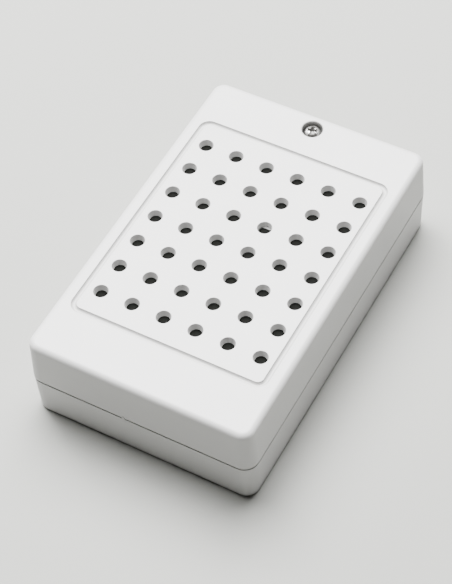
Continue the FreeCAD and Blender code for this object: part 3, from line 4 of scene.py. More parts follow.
import bmesh
import bpy
from bpy.props import FloatProperty, FloatVectorProperty, IntProperty, PointerProperty
from mathutils import Matrix, Vector


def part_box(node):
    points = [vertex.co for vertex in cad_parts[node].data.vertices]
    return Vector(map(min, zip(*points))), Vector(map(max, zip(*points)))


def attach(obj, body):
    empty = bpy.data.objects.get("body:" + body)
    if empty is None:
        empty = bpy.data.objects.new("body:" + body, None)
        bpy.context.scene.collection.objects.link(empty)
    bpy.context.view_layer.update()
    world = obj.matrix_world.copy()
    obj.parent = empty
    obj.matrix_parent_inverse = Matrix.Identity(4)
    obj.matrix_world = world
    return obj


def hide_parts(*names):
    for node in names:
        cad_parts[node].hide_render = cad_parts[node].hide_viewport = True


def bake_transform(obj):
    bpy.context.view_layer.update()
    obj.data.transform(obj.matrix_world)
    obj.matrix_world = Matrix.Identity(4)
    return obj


bl_info = {
    "name": "Intercom Sounder Looks",
    "version": (1, 0, 0),
    "blender": (4, 5, 0),
    "location": "View3D > Sidebar > Sounder",
    "description": "Finishes, fine pieces, stage, lights and camera for the intercom extension sounder",
    "category": "Object",
}

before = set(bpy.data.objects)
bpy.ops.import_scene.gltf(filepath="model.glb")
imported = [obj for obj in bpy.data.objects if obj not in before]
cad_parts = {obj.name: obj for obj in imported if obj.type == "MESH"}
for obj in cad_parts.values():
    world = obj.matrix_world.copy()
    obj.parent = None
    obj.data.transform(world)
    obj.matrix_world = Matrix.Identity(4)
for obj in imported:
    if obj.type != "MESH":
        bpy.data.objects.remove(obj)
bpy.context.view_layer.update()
MM = 0.001
FULL_TURN = 2 * math.pi

# Places on the front cover, in millimetres
CHANNEL_HALF_SIZE = (29.85, 38.4)
CHANNEL_CORNER = 2.6
FLASH_HOLE = (5.0, 10.0)
RING_STEPS = 96


def box_mm(node):
    """Lowest and highest corner of a CAD node, in millimetres."""
    low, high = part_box(node)
    return low / MM, high / MM


def middle_mm(node):
    """The middle of a CAD node seen from above, in millimetres."""
    low, high = box_mm(node)
    return (low.x + high.x) / 2, (low.y + high.y) / 2


def length_property(name, description, default_mm):
    return FloatProperty(name=name, description=description, default=default_mm * MM, min=0.0,
                         subtype="DISTANCE", unit="LENGTH")


def colour_property(name, description, default):
    return FloatVectorProperty(name=name, description=description, default=default, min=0.0, max=1.0,
                               size=3, subtype="COLOR")


def share_property(name, description, default):
    return FloatProperty(name=name, description=description, default=default, min=0.0, max=1.0,
                         subtype="FACTOR")


# What a user would change

class CaseLook(bpy.types.PropertyGroup):
    colour: colour_property("Plastic", "Colour of the moulded shells", (0.500, 0.497, 0.490))
    roughness: share_property("Roughness", "How matt the shells are", 0.42)
    grain: length_property("Grain", "Size of the fine mould texture", 0.35)
    grain_depth: share_property("Grain depth", "Strength of the mould texture", 0.10)
    mark_radius: length_property("Ejector mark radius", "Round marks that the mould left inside", 2.2)
    # Painted shade on the wall round the cover screw
    recess_painted_shade: share_property("Recess painted shade", "How dark the painted shade on the wall round the cover screw is", 0.85)
    # Painted shade in the moulded channel round the grille
    channel_painted_shade: share_property("Channel painted shade", "How dark the painted shade in the moulded channel round the grille is", 0.25)
    flash_dirt: share_property("Flash dirt", "How grey the moulding flash in one grille hole is", 0.8)


class ScrewLook(bpy.types.PropertyGroup):
    colour: colour_property("Plating", "Colour of the bright plating", (0.72, 0.71, 0.69))
    roughness: share_property("Roughness", "How dull the plating is", 0.24)
    cross_turn: FloatProperty(name="Cross turn", description="How far the cross is turned",
                              default=math.radians(15), subtype="ANGLE", unit="ROTATION")
    slot_width: length_property("Slot width", "Width of one arm of the cross", 1.3)
    slot_depth: length_property("Slot depth", "Depth of the cross at its centre", 1.7)
    thread_pitch: length_property("Thread pitch", "Rise of the thread in one turn", 1.1)


class ClothLook(bpy.types.PropertyGroup):
    colour: colour_property("Cloth", "Colour of the cloth behind the grille", (0.006, 0.0065, 0.0055))
    thread: length_property("Thread", "Distance from one thread to the next", 0.45)
    sag: length_property("Sag", "How far the cloth lies below the cover between its edges", 0.04)


class SpeakerLook(bpy.types.PropertyGroup):
    paper: colour_property("Paper", "Colour of the cone", (0.014, 0.013, 0.012))
    cap: colour_property("Dust cap", "Colour of the cap over the coil", (0.010, 0.010, 0.011))
    steel: colour_property("Steel", "Colour of the plated sheet steel", (0.58, 0.575, 0.54))
    rib_count: IntProperty(name="Cone ribs", description="Pressed rings round the cone", default=5, min=0)
    rib_height: length_property("Rib height", "Height of the pressed rings", 0.16)
    coil_turns: IntProperty(name="Coil turns", description="Turns of wire that show on the coil",
                            default=17, min=1)


class BoardLook(bpy.types.PropertyGroup):
    lacquer: colour_property("Lacquer", "Colour of the board", (0.018, 0.110, 0.045))
    track: colour_property("Track", "Colour of the copper under the lacquer", (0.045, 0.200, 0.075))
    ink: colour_property("Ink", "Colour of the printed outlines", (0.70, 0.71, 0.66))
    track_width: length_property("Track width", "Width of a copper track", 0.9)
    ink_width: length_property("Ink width", "Width of a printed line", 0.22)


class StageLook(bpy.types.PropertyGroup):
    floor: colour_property("Floor", "Colour of the floor", (0.305, 0.308, 0.291))
    place: FloatVectorProperty(name="Camera", description="Where the camera stands",
                               default=(0.16803, -0.26897, 0.42286), size=3, subtype="TRANSLATION",
                               unit="LENGTH")
    lens: FloatProperty(name="Lens", description="Focal length for a 36 mm frame", default=111.14,
                        min=10.0, unit="CAMERA")
    key: FloatProperty(name="Key light", description="Power of the large light above", default=77.0,
                       min=0.0, unit="POWER")
    fill: FloatProperty(name="Fill light", description="Power of the light from the far side",
                        default=0.27, min=0.0, unit="POWER")
    side: FloatProperty(name="Side light", description="Power of the light from the left", default=3.5,
                        min=0.0, unit="POWER")
    surround: share_property("Surround", "Brightness of the studio round the object", 0.03)


class SounderLook(bpy.types.PropertyGroup):
    case: PointerProperty(type=CaseLook)
    screw: PointerProperty(type=ScrewLook)
    cloth: PointerProperty(type=ClothLook)
    speaker: PointerProperty(type=SpeakerLook)
    board: PointerProperty(type=BoardLook)
    stage: PointerProperty(type=StageLook)


# Finishes

class Reading:
    """A value that changes over a surface; arithmetic on it adds Math nodes."""

    def __init__(self, finish, socket):
        self.finish = finish
        self.socket = socket

    def _with(self, operation, *terms):
        return self.finish.add("ShaderNodeMath", {"operation": operation}, dict(enumerate(terms)))

    def __add__(self, other):
        return self._with("ADD", self, other)

    def __sub__(self, other):
        return self._with("SUBTRACT", self, other)

    def __rsub__(self, other):
        return self._with("SUBTRACT", other, self)

    def __mul__(self, other):
        return self._with("MULTIPLY", self, other)

    def __pow__(self, other):
        return self._with("POWER", self, other)

    def __abs__(self):
        return self._with("ABSOLUTE", self)

    __radd__ = __add__
    __rmul__ = __mul__

    def sine(self):
        return self._with("SINE", self)

    def larger(self, other):
        return self._with("MAXIMUM", self, other)

    def root(self):
        return self._with("SQRT", self)

    def repeat(self, span):
        """Distance from the nearest multiple of span."""
        return abs(self._with("PINGPONG", self, span / 2))

    def rising(self, low, high):
        """0 below low and 1 above high, with a soft step between."""
        return self.finish.add("ShaderNodeMapRange", {"interpolation_type": "SMOOTHSTEP"},
                               {"Value": self, "From Min": low, "From Max": high})

    def falling(self, low, high):
        return 1 - self.rising(low, high)


class Finish:
    """A node material read in the piece's own Object coordinates, in millimetres."""

    def __init__(self, name, **constants):
        self.material = bpy.data.materials.new(name)
        self.material.use_nodes = True
        self.tree = self.material.node_tree
        self.tree.nodes.clear()
        self.shader = self.tree.nodes.new("ShaderNodeBsdfPrincipled")
        output = self.tree.nodes.new("ShaderNodeOutputMaterial")
        self.tree.links.new(self.shader.outputs[0], output.inputs["Surface"])
        for socket, value in constants.items():
            self.set(socket.replace("_", " "), value)
        place = self.add("ShaderNodeTexCoord", output="Object")
        self.place = self.add("ShaderNodeVectorMath", {"operation": "SCALE"}, {0: place, "Scale": 1 / MM})
        axes = self.add("ShaderNodeSeparateXYZ", sockets={0: self.place}).socket.node
        self.x, self.y, self.z = (Reading(self, socket) for socket in axes.outputs)

    def add(self, kind, settings=None, sockets=None, output=0):
        node = self.tree.nodes.new(kind)
        for name, value in (settings or {}).items():
            setattr(node, name, value)
        for name, value in (sockets or {}).items():
            self._feed(node.inputs[name], value)
        return Reading(self, node.outputs[output])

    def _feed(self, socket, value):
        if isinstance(value, Reading):
            self.tree.links.new(value.socket, socket)
        elif socket.type == "RGBA" and len(value) == 3:
            socket.default_value = (*value, 1.0)
        else:
            socket.default_value = value

    def set(self, socket, value):
        self._feed(self.shader.inputs[socket], value)
        return self

    def surface(self, colour, roughness, normal):
        """Sets what nearly every finish varies, and gives the finish back."""
        self.set("Base Color", colour)
        self.set("Roughness", roughness)
        self.set("Normal", normal)
        return self

    def noise(self, size_mm, detail=2.0, place=None, seed=0.0):
        return self.add("ShaderNodeTexNoise", {"noise_dimensions": "4D"},
                        {"Vector": place or self.place, "W": seed, "Scale": 1 / size_mm, "Detail": detail})

    def cells(self, size_mm, place=None, feature="F1"):
        return self.add("ShaderNodeTexVoronoi", {"feature": feature},
                        {"Vector": place or self.place, "Scale": 1 / size_mm})

    def stretched(self, scale, turn=(0.0, 0.0, 0.0)):
        return self.add("ShaderNodeMapping", sockets={"Vector": self.place, "Scale": scale, "Rotation": turn})

    def about(self, x, y):
        """Distance from the vertical line through (x, y)."""
        across = self.x - x
        along = self.y - y
        return (across * across + along * along).root()

    def blend(self, share, first, second):
        return self.add("ShaderNodeMix", {"data_type": "RGBA"}, {0: share, 6: first, 7: second}, output=2)

    def bump(self, height, strength, distance_mm, over=None):
        sockets = {"Height": height, "Strength": strength, "Distance": distance_mm * MM}
        if over:
            sockets["Normal"] = over
        return self.add("ShaderNodeBump", sockets=sockets)

    def dress(self, *nodes):
        """Gives this finish to CAD nodes."""
        for name in nodes:
            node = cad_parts[name]
            node.data.materials.clear()
            node.data.materials.append(self.material)


def darker(colour, share):
    return tuple(value * share for value in colour)


def lighter(colour, share):
    return tuple(value + (1 - value) * share for value in colour)


def moulded_plastic(name, colour, roughness, grain_mm=0.3, depth=0.1, mottle=0.02):
    """Moulded plastic: a fine even texture, faint clouding and a few soft rubs."""
    finish = Finish(name, IOR=1.49)
    clouds = finish.noise(9.0, 3.0)
    rubs = finish.noise(0.6, 2.0, finish.stretched((0.05, 0.9, 0.4), (0.3, 0.2, 0.5)), 3.0)
    rub = rubs.rising(0.66, 0.74) * finish.noise(6.0, 1.0, seed=5.0).rising(0.5, 0.62)
    grain = finish.noise(grain_mm, 3.0, seed=1.0)
    return finish.surface(
        finish.blend(clouds.rising(0.3, 0.7), darker(colour, 1 - mottle), lighter(colour, mottle / 2)),
        roughness + (grain - 0.5) * 0.16 - rub * 0.05,
        finish.bump(grain - rub * 0.15, depth, 0.03))


def sheet_steel(name, colour, roughness, grain=(0.25, 4.0, 4.0)):
    """Plated sheet: drawn streaks, tiny pits and faint stains."""
    finish = Finish(name, Metallic=1.0)
    streaks = finish.noise(0.5, 4.0, finish.stretched(grain))
    pits = finish.cells(0.9).falling(0.04, 0.12)
    stains = finish.noise(5.0, 3.0, seed=2.0).rising(0.45, 0.7)
    return finish.surface(
        finish.blend(stains, colour, darker(colour, 0.82)),
        roughness + streaks * 0.14 + stains * 0.06,
        finish.bump(streaks * 0.4 - pits, 0.12, 0.02))


def turned_metal(name, colour, roughness, x, y):
    """Bright metal with fine turning rings about a vertical line."""
    finish = Finish(name, Metallic=1.0)
    rings = (finish.about(x, y) * (FULL_TURN / 0.09)).sine()
    wear = finish.noise(0.7, 3.0)
    return finish.surface(
        finish.blend(wear.rising(0.45, 0.7), colour, darker(colour, 0.86)),
        roughness + wear * 0.12,
        finish.bump(rings * 0.5 + wear, 0.05, 0.01))


def driven_screw(look, centre, top):
    """Bright plating, with painted shade in the driver's cross and a painted shadow on one side of the rim,
    where the plating is also made less metallic.
    """
    finish = turned_metal("bright_screw", look.colour, look.roughness, *centre)
    out = finish.about(*centre)
    under_dome = finish.z + out * out * 0.12
    # Painted shade in the arms of the driver's cross
    cross = out.falling(1.9, 2.0) * under_dome.falling(top - 0.16, top - 0.05)
    # Painted shadow on the side of the rim towards -y
    rim_shadow = finish.about(centre[0] + 1.0, centre[1] - 2.0).falling(1.4, 1.7)
    slot_and_rim_shade = (cross * 0.9 * finish.noise(0.5, 3.0, seed=4.0).rising(0.1, 0.5)).larger(rim_shadow)
    finish.set("Metallic", 1 - slot_and_rim_shade * 0.6)
    plating = finish.blend(finish.noise(0.7, 3.0).rising(0.45, 0.7), look.colour, darker(look.colour, 0.86))
    finish.set("Base Color", finish.blend(slot_and_rim_shade, plating, (0.05, 0.048, 0.045)))
    return finish


def ferrite_ceramic():
    """Dark sintered ceramic with grinding marks and small pores."""
    finish = Finish("ferrite_ceramic", IOR=1.6)
    grinding = finish.noise(0.4, 3.0, finish.stretched((0.2, 3.0, 1.0), (0, 0, 0.6)))
    pores = finish.cells(0.7).falling(0.05, 0.16)
    return finish.surface(
        finish.blend(finish.noise(1.2, 4.0).rising(0.4, 0.7), (0.020, 0.020, 0.022), (0.042, 0.041, 0.043)),
        0.5 + grinding * 0.2,
        finish.bump(grinding * 0.5 - pores, 0.3, 0.03))


def pressed_paper(name, colour):
    """Pressed fibre with short matted hairs."""
    finish = Finish(name, Sheen_Weight=0.05)
    hairs = finish.noise(0.18, 5.0, finish.stretched((1.0, 0.35, 1.0), (0, 0, 0.7)))
    crossing = finish.noise(0.18, 5.0, finish.stretched((0.35, 1.0, 1.0), (0, 0, 0.4)), 2.0)
    felt = hairs.larger(crossing)
    return finish.surface(
        finish.blend(felt.rising(0.45, 0.7), darker(colour, 0.7), lighter(colour, 0.02)),
        0.72 + felt * 0.2,
        finish.bump(felt, 0.5, 0.05))


def woven_cloth(name, colour, thread_mm):
    """A plain weave: threads that pass over and under in turn, with a painted highlight on the thread crowns
    and painted shade between them.
    """
    finish = Finish(name, Specular_IOR_Level=0.0)
    turn = math.pi / thread_mm
    across = (finish.x * turn).sine()
    along = (finish.y * turn).sine()
    over = (across * along).rising(-0.4, 0.4)
    crown = abs(across) * over + abs(along) * (1 - over)
    fuzz = finish.noise(thread_mm / 4, 3.0)
    # Painted highlight on the thread crowns and painted shade in the dips between threads
    return finish.surface(
        finish.blend(crown * 0.7 + fuzz * 0.3, darker(colour, 0.35), lighter(colour, 0.006)),
        0.75 + fuzz * 0.2,
        finish.bump(crown + fuzz * 0.3, 0.6, thread_mm * 0.3))


def soft_foam(name, colour, cell_mm=0.35):
    """Open foam: small round cells with thin walls, and painted shade in the pits."""
    finish = Finish(name, Sheen_Weight=0.1)
    cell = finish.cells(cell_mm)
    coarse = finish.cells(cell_mm * 2.3)
    pit = cell.falling(0.25, 0.6) * 0.7 + coarse.falling(0.15, 0.4) * 0.3
    # Painted shade in the pits of the cells
    return finish.surface(
        finish.blend(pit, lighter(colour, 0.03), darker(colour, 0.3)),
        0.85 + pit * 0.1,
        finish.bump(1 - pit, 0.8, 0.08))


def coated_cloth(name, colour):
    """The resin-soaked cloth of the spider."""
    finish = Finish(name)
    turn = math.pi / 0.5
    weave = (finish.x * turn).sine() * (finish.y * turn).sine()
    resin = finish.noise(1.5, 3.0)
    return finish.surface(
        finish.blend(weave.rising(-0.5, 0.5), colour, darker(colour, 0.6)),
        0.5 + resin * 0.25,
        finish.bump(weave, 0.35, 0.06))


def copper_coil():
    """Enamelled copper wire wound in close turns."""
    finish = Finish("copper_coil", Metallic=0.9, Coat_Weight=0.4, Coat_Roughness=0.12)
    shade = finish.noise(2.0, 2.0)
    finish.set("Base Color", finish.blend(shade.rising(0.4, 0.65), (0.62, 0.20, 0.07), (0.44, 0.12, 0.04)))
    finish.set("Roughness", 0.28 + shade * 0.1)
    return finish


def braided_lead():
    """Thin copper strips braided round a thread."""
    finish = Finish("braided_lead", Metallic=0.8)
    braid = ((finish.x + finish.z) * 9.0).sine() * ((finish.y - finish.z) * 9.0).sine()
    return finish.surface(
        finish.blend(braid.rising(-0.3, 0.3), (0.50, 0.22, 0.10), (0.20, 0.08, 0.04)),
        0.42 + braid * 0.1,
        finish.bump(braid, 0.6, 0.06))


def fibre_strip():
    """Brown phenolic fibre with fine layers at its cut edges."""
    finish = Finish("fibre_strip", IOR=1.55)
    layers = (finish.z * (FULL_TURN / 0.16)).sine()
    fibres = finish.noise(0.25, 4.0, finish.stretched((0.3, 1.0, 1.0)))
    return finish.surface(
        finish.blend(fibres.rising(0.35, 0.65), (0.24, 0.115, 0.040), (0.33, 0.175, 0.070)),
        0.45 + fibres * 0.2,
        finish.bump(layers * 0.4 + fibres, 0.2, 0.03))


def bright_solder():
    """Solder that flowed: bright, with a soft orange-peel skin."""
    finish = Finish("bright_solder", Metallic=1.0)
    skin = finish.noise(0.3, 2.0)
    flux = finish.noise(1.6, 2.0, seed=4.0).rising(0.55, 0.7)
    return finish.surface(
        finish.blend(flux, (0.70, 0.70, 0.71), (0.52, 0.49, 0.42)),
        0.18 + skin * 0.2 + flux * 0.1,
        finish.bump(skin, 0.25, 0.04))


def tinned_metal():
    """Tinned brass: dull silver with a warm cast where the tin is thin."""
    finish = Finish("tinned_metal", Metallic=1.0)
    thin = finish.noise(0.9, 4.0).rising(0.5, 0.72)
    return finish.surface(
        finish.blend(thin, (0.66, 0.65, 0.60), (0.60, 0.49, 0.28)),
        0.30 + thin * 0.14,
        finish.bump(finish.noise(0.2, 3.0), 0.1, 0.02))


def wire_sleeve(name, colour):
    """Extruded wire insulation: smooth, with faint die lines and handling marks."""
    finish = Finish(name, IOR=1.5)
    lines = finish.noise(0.25, 3.0, finish.stretched((1.0, 1.0, 0.15)))
    patches = finish.noise(2.0, 2.0).rising(0.4, 0.7)
    return finish.surface(
        finish.blend(patches, colour, darker(colour, 0.75)),
        0.34 + lines * 0.16,
        finish.bump(lines, 0.1, 0.02))


def board_laminate(look):
    """Green lacquer over glass cloth, with brown cut edges."""
    low, high = box_mm("circuit_board")
    finish = Finish("board_laminate", IOR=1.5)
    turn = math.pi / 0.7
    weave = (finish.x * turn).sine() * (finish.y * turn).sine()
    lacquer = finish.blend(weave.rising(-0.6, 0.6), look.lacquer, lighter(look.lacquer, 0.03))
    face = finish.z.rising(high.z - 0.12, high.z - 0.04) + finish.z.falling(low.z + 0.04, low.z + 0.12)
    glass = finish.noise(0.3, 4.0, finish.stretched((0.5, 0.5, 3.0)))
    edge = finish.blend(glass, (0.30, 0.27, 0.12), (0.18, 0.17, 0.07))
    return finish.surface(
        finish.blend(face, edge, lacquer),
        0.62 - face * 0.36 + glass * 0.08,
        finish.bump(weave * 0.3 + glass * 0.3, 0.12, 0.03))


def banded_resistor():
    """Cream lacquer with painted rings; the rings differ from one body to the next."""
    low, high = box_mm("resistors")
    centre = (low.x + high.x) / 2
    finish = Finish("banded_resistor", IOR=1.5, Coat_Weight=0.3)
    first_row = finish.y.falling(low.y + 2.0, low.y + 2.4)
    last_row = finish.y.rising(high.y - 2.4, high.y - 2.0)
    paint = (0.62, 0.43, 0.24)
    colours = [((0.30, 0.02, 0.015), (0.45, 0.20, 0.01), (0.08, 0.03, 0.015)),
               ((0.015, 0.06, 0.28), (0.08, 0.08, 0.08), (0.60, 0.38, 0.01)),
               ((0.08, 0.03, 0.015), (0.35, 0.04, 0.01), (0.02, 0.16, 0.05)),
               ((0.45, 0.30, 0.07),) * 3]
    shade = finish.blend(finish.noise(1.5, 2.0).rising(0.4, 0.6), paint, darker(paint, 0.88))
    for place, (low_row, middle_row, high_row) in zip((-1.75, -0.75, 0.15, 1.55), colours):
        ring = abs(finish.x - (centre + place)).falling(0.22, 0.30)
        colour = finish.blend(last_row, finish.blend(first_row, middle_row, low_row), high_row)
        shade = finish.blend(ring, shade, colour)
    return finish.surface(
        shade,
        0.32 + finish.noise(0.4, 2.0) * 0.12,
        finish.bump(finish.noise(0.5, 2.0), 0.12, 0.04))


def diode_epoxy():
    """Black moulding with a silver ring near one end."""
    low, high = box_mm("diodes")
    finish = Finish("diode_epoxy", IOR=1.5)
    half_gap = (high.y - low.y - 4.0) / 2
    along = (finish.y - (low.y + 2.0)).repeat(2 * half_gap)
    ring = abs(along - 1.3).falling(0.22, 0.30)
    return finish.surface(
        finish.blend(ring, (0.018, 0.018, 0.019), (0.50, 0.50, 0.48)),
        0.45 + finish.noise(0.3, 3.0) * 0.2,
        finish.bump(finish.noise(0.15, 3.0), 0.15, 0.03))


def chip_epoxy(name, mark_x, mark_y):
    """Black moulded epoxy, matt, with one small round dimple."""
    finish = Finish(name, IOR=1.52)
    grain = finish.noise(0.12, 3.0)
    dimple = finish.about(mark_x, mark_y).falling(0.42, 0.52)
    return finish.surface(
        finish.blend(grain, (0.013, 0.013, 0.014), (0.026, 0.026, 0.027)),
        0.62 + grain * 0.2 - dimple * 0.35,
        finish.bump(grain * 0.4 - dimple, 0.3, 0.05))


def can_sleeve():
    """Dark shrink sleeve with a pale stripe; the rim and the lid are bare metal."""
    high = box_mm("electrolytic_capacitor")[1]
    x, y = middle_mm("electrolytic_capacitor")
    finish = Finish("can_sleeve", IOR=1.5)
    bare = finish.z.rising(high.z - 0.55, high.z - 0.42) * finish.about(x, y).falling(3.35, 3.5)
    stripe = (finish.x - x).falling(-2.9, -2.7)
    dash = stripe * abs(finish.y - y).falling(0.25, 0.32) * ((finish.z * 2.1).sine()).rising(0.1, 0.3)
    scored = (abs(finish.x - x).falling(0.06, 0.12) + abs(finish.y - y).falling(0.06, 0.12)) * bare
    sleeve = finish.blend(stripe, (0.020, 0.024, 0.050), (0.50, 0.52, 0.54))
    sleeve = finish.blend(dash, sleeve, (0.020, 0.024, 0.050))
    finish.set("Base Color", finish.blend(bare, sleeve, (0.72, 0.72, 0.73)))
    finish.set("Metallic", bare)
    finish.set("Roughness", 0.36 - bare * 0.1 + finish.noise(0.8, 3.0) * 0.12)
    finish.set("Normal", finish.bump(finish.noise(0.6, 2.0) * 0.3 - scored, 0.3, 0.06))
    return finish


def dipped_film():
    """Dipped capacitor: glossy yellow with small runs and bubbles."""
    finish = Finish("dipped_film", IOR=1.5, Coat_Weight=0.4, Coat_Roughness=0.15)
    runs = finish.noise(1.4, 2.0, finish.stretched((1.0, 1.0, 0.5)))
    return finish.surface(
        finish.blend(runs.rising(0.4, 0.65), (0.62, 0.36, 0.03), (0.50, 0.25, 0.02)),
        0.3 + runs * 0.15,
        finish.bump(runs, 0.35, 0.12))


def case_plastic(look):
    """The shells: the moulded texture, the mould's round marks on the hidden side, painted shade on the screw
    recess's wall and painted shade in the channel round the grille.
    """
    finish = Finish("case_plastic", IOR=1.5)
    base_low = box_mm("back_case")[0]
    grain_mm = look.grain / MM
    clouds = finish.noise(16.0, 3.0)
    speck = finish.noise(0.9, 2.0, seed=7.0).rising(0.72, 0.76)
    grain = finish.noise(grain_mm, 3.0, seed=1.0)
    drawn = finish.stretched((0.04, 0.8, 0.5), (0.2, 0.1, 0.9))
    scuff = finish.noise(0.5, 2.0, drawn, 3.0).rising(0.68, 0.75)
    scuff = scuff * finish.noise(11.0, 1.0, seed=6.0).rising(0.52, 0.62)
    inside = finish.z.rising(base_low.z + 1.9, base_low.z + 1.98) * finish.z.falling(2.02, 2.08)
    radius = look.mark_radius / MM
    step = 15.0
    spot = ((finish.x - step / 2).repeat(step) ** 2 + (finish.y - step / 2).repeat(step) ** 2).root()
    ring = abs(spot - radius).falling(0.05, 0.16) * inside
    tone = finish.blend(clouds.rising(0.3, 0.7), darker(look.colour, 0.985), lighter(look.colour, 0.012))
    tone = finish.blend(speck * 0.12, tone, darker(look.colour, 0.8))
    screw_y = middle_mm("cover_screw")[1]
    # Painted shade: the wall of the screw recess is darkened to near black
    recess = finish.about(0.0, screw_y).falling(3.06, 3.3) * finish.z.falling(29.3, 29.5)
    tone = finish.blend(recess * look.recess_painted_shade, tone, (0.03, 0.03, 0.028))
    # Painted shade: the inside of the moulded channel round the grille is darkened
    across, along = CHANNEL_HALF_SIZE
    outward = (abs(finish.x) - across + CHANNEL_CORNER).larger(0.0)
    upward = (abs(finish.y) - along + CHANNEL_CORNER).larger(0.0)
    from_channel = abs((outward * outward + upward * upward).root() - CHANNEL_CORNER)
    channel_shade = from_channel.falling(0.7, 0.85) * finish.z.falling(29.3, 29.45) * finish.z.rising(28.0, 28.2)
    tone = finish.blend(channel_shade * look.channel_painted_shade, tone, (0.2, 0.2, 0.19))
    flash = finish.about(*FLASH_HOLE).falling(2.1, 2.2)
    flash = flash * finish.z.falling(27.85, 27.95) * finish.z.rising(27.5, 27.55)
    tone = finish.blend(flash * look.flash_dirt, tone, (0.05, 0.05, 0.048))
    return finish.surface(
        finish.blend(ring * 0.5, tone, darker(look.colour, 0.75)),
        look.roughness + (grain - 0.5) * 0.14 - scuff * 0.06,
        finish.bump(grain - scuff * 0.2 - ring * 2.0, look.grain_depth, 0.04))


# Making pieces

def turned_mesh(outline, steps=RING_STEPS, centre=(0.0, 0.0), shift=(0.0, 0.0, 0.0), turns=1.0, rise=0.0):
    """A bmesh in millimetres, spun from a closed (radius, height) outline."""
    bm = bmesh.new()
    verts = [bm.verts.new((radius, 0, height)) for radius, height in outline]
    edges = [bm.edges.new(pair) for pair in zip(verts, verts[1:] + verts[:1])]
    whole = turns == 1.0 and rise == 0.0
    bmesh.ops.spin(bm, geom=verts + edges, cent=(0, 0, 0), axis=(0, 0, 1), dvec=(0, 0, rise / steps),
                   angle=FULL_TURN * turns, steps=steps, use_merge=whole)
    if not whole:
        bmesh.ops.holes_fill(bm, edges=[edge for edge in bm.edges if edge.is_boundary], sides=0)
    bmesh.ops.remove_doubles(bm, verts=bm.verts, dist=0.0005)
    bmesh.ops.translate(bm, verts=bm.verts, vec=Vector(shift) + Vector((*centre, 0.0)))
    return bm


def block_mesh(low, high, bevel=0.0, segments=2):
    """A bmesh box between two corners, with eased edges."""
    low = Vector(low)
    high = Vector(high)
    bm = bmesh.new()
    bmesh.ops.create_cube(bm, size=1.0)
    bmesh.ops.scale(bm, verts=bm.verts, vec=high - low)
    bmesh.ops.translate(bm, verts=bm.verts, vec=(low + high) / 2)
    if bevel:
        bmesh.ops.bevel(bm, geom=list(bm.edges), offset=bevel, offset_type="OFFSET", affect="EDGES",
                        segments=segments, profile=0.5, material=-1)
    return bm


def added(bm, other):
    """Copies another bmesh into bm and frees it."""
    mesh = bpy.data.meshes.new("part")
    other.to_mesh(mesh)
    other.free()
    bm.from_mesh(mesh)
    bpy.data.meshes.remove(mesh)
    return bm


def new_piece(name, bm, finish, body, replaced=(), crease_deg=32.0):
    """Turns a bmesh in millimetres into a finished object at the origin, riding on a body if one is named."""
    bmesh.ops.recalc_face_normals(bm, faces=bm.faces)
    bmesh.ops.scale(bm, verts=bm.verts, vec=(MM, MM, MM))
    mesh = bpy.data.meshes.new(name)
    bm.to_mesh(mesh)
    bm.free()
    for polygon in mesh.polygons:
        polygon.use_smooth = True
    mesh.set_sharp_from_angle(angle=math.radians(crease_deg))
    mesh.materials.append(finish.material)
    piece = bpy.data.objects.new(name, mesh)
    bpy.context.scene.collection.objects.link(piece)
    if body:
        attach(piece, body)
    if replaced:
        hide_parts(*replaced)
    return piece


def bending_ring(name, outline, finish, replaced, sectors):
    """A flexible ring from the base to the cone, built as separate sectors, each turned into its place about
    the middle.
    """
    for index in range(sectors):
        bm = turned_mesh(outline, steps=RING_STEPS // sectors, turns=1 / sectors)
        turn = Matrix.Rotation(FULL_TURN * index / sectors, 3, "Z")
        bmesh.ops.rotate(bm, verts=bm.verts, cent=(0, 0, 0), matrix=turn)
        piece = new_piece(f"{name}_{index + 1}", bm, finish, None, [replaced], crease_deg=60)
        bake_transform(piece)


def arc_points(centre, radius, start_deg, end_deg, steps):
    """(x, y) points along an arc."""
    angles = [math.radians(start_deg + (end_deg - start_deg) * index / steps) for index in range(steps + 1)]
    return [(centre[0] + radius * math.cos(angle), centre[1] + radius * math.sin(angle)) for angle in angles]


# Operators

class SOUNDER_OT_case(bpy.types.Operator):
    """Finish the two moulded shells"""
    bl_idname = "sounder.case"
    bl_label = "Case"

    def execute(self, context):
        case_plastic(context.scene.sounder.case).dress("front_cover", "back_case")
        return {"FINISHED"}


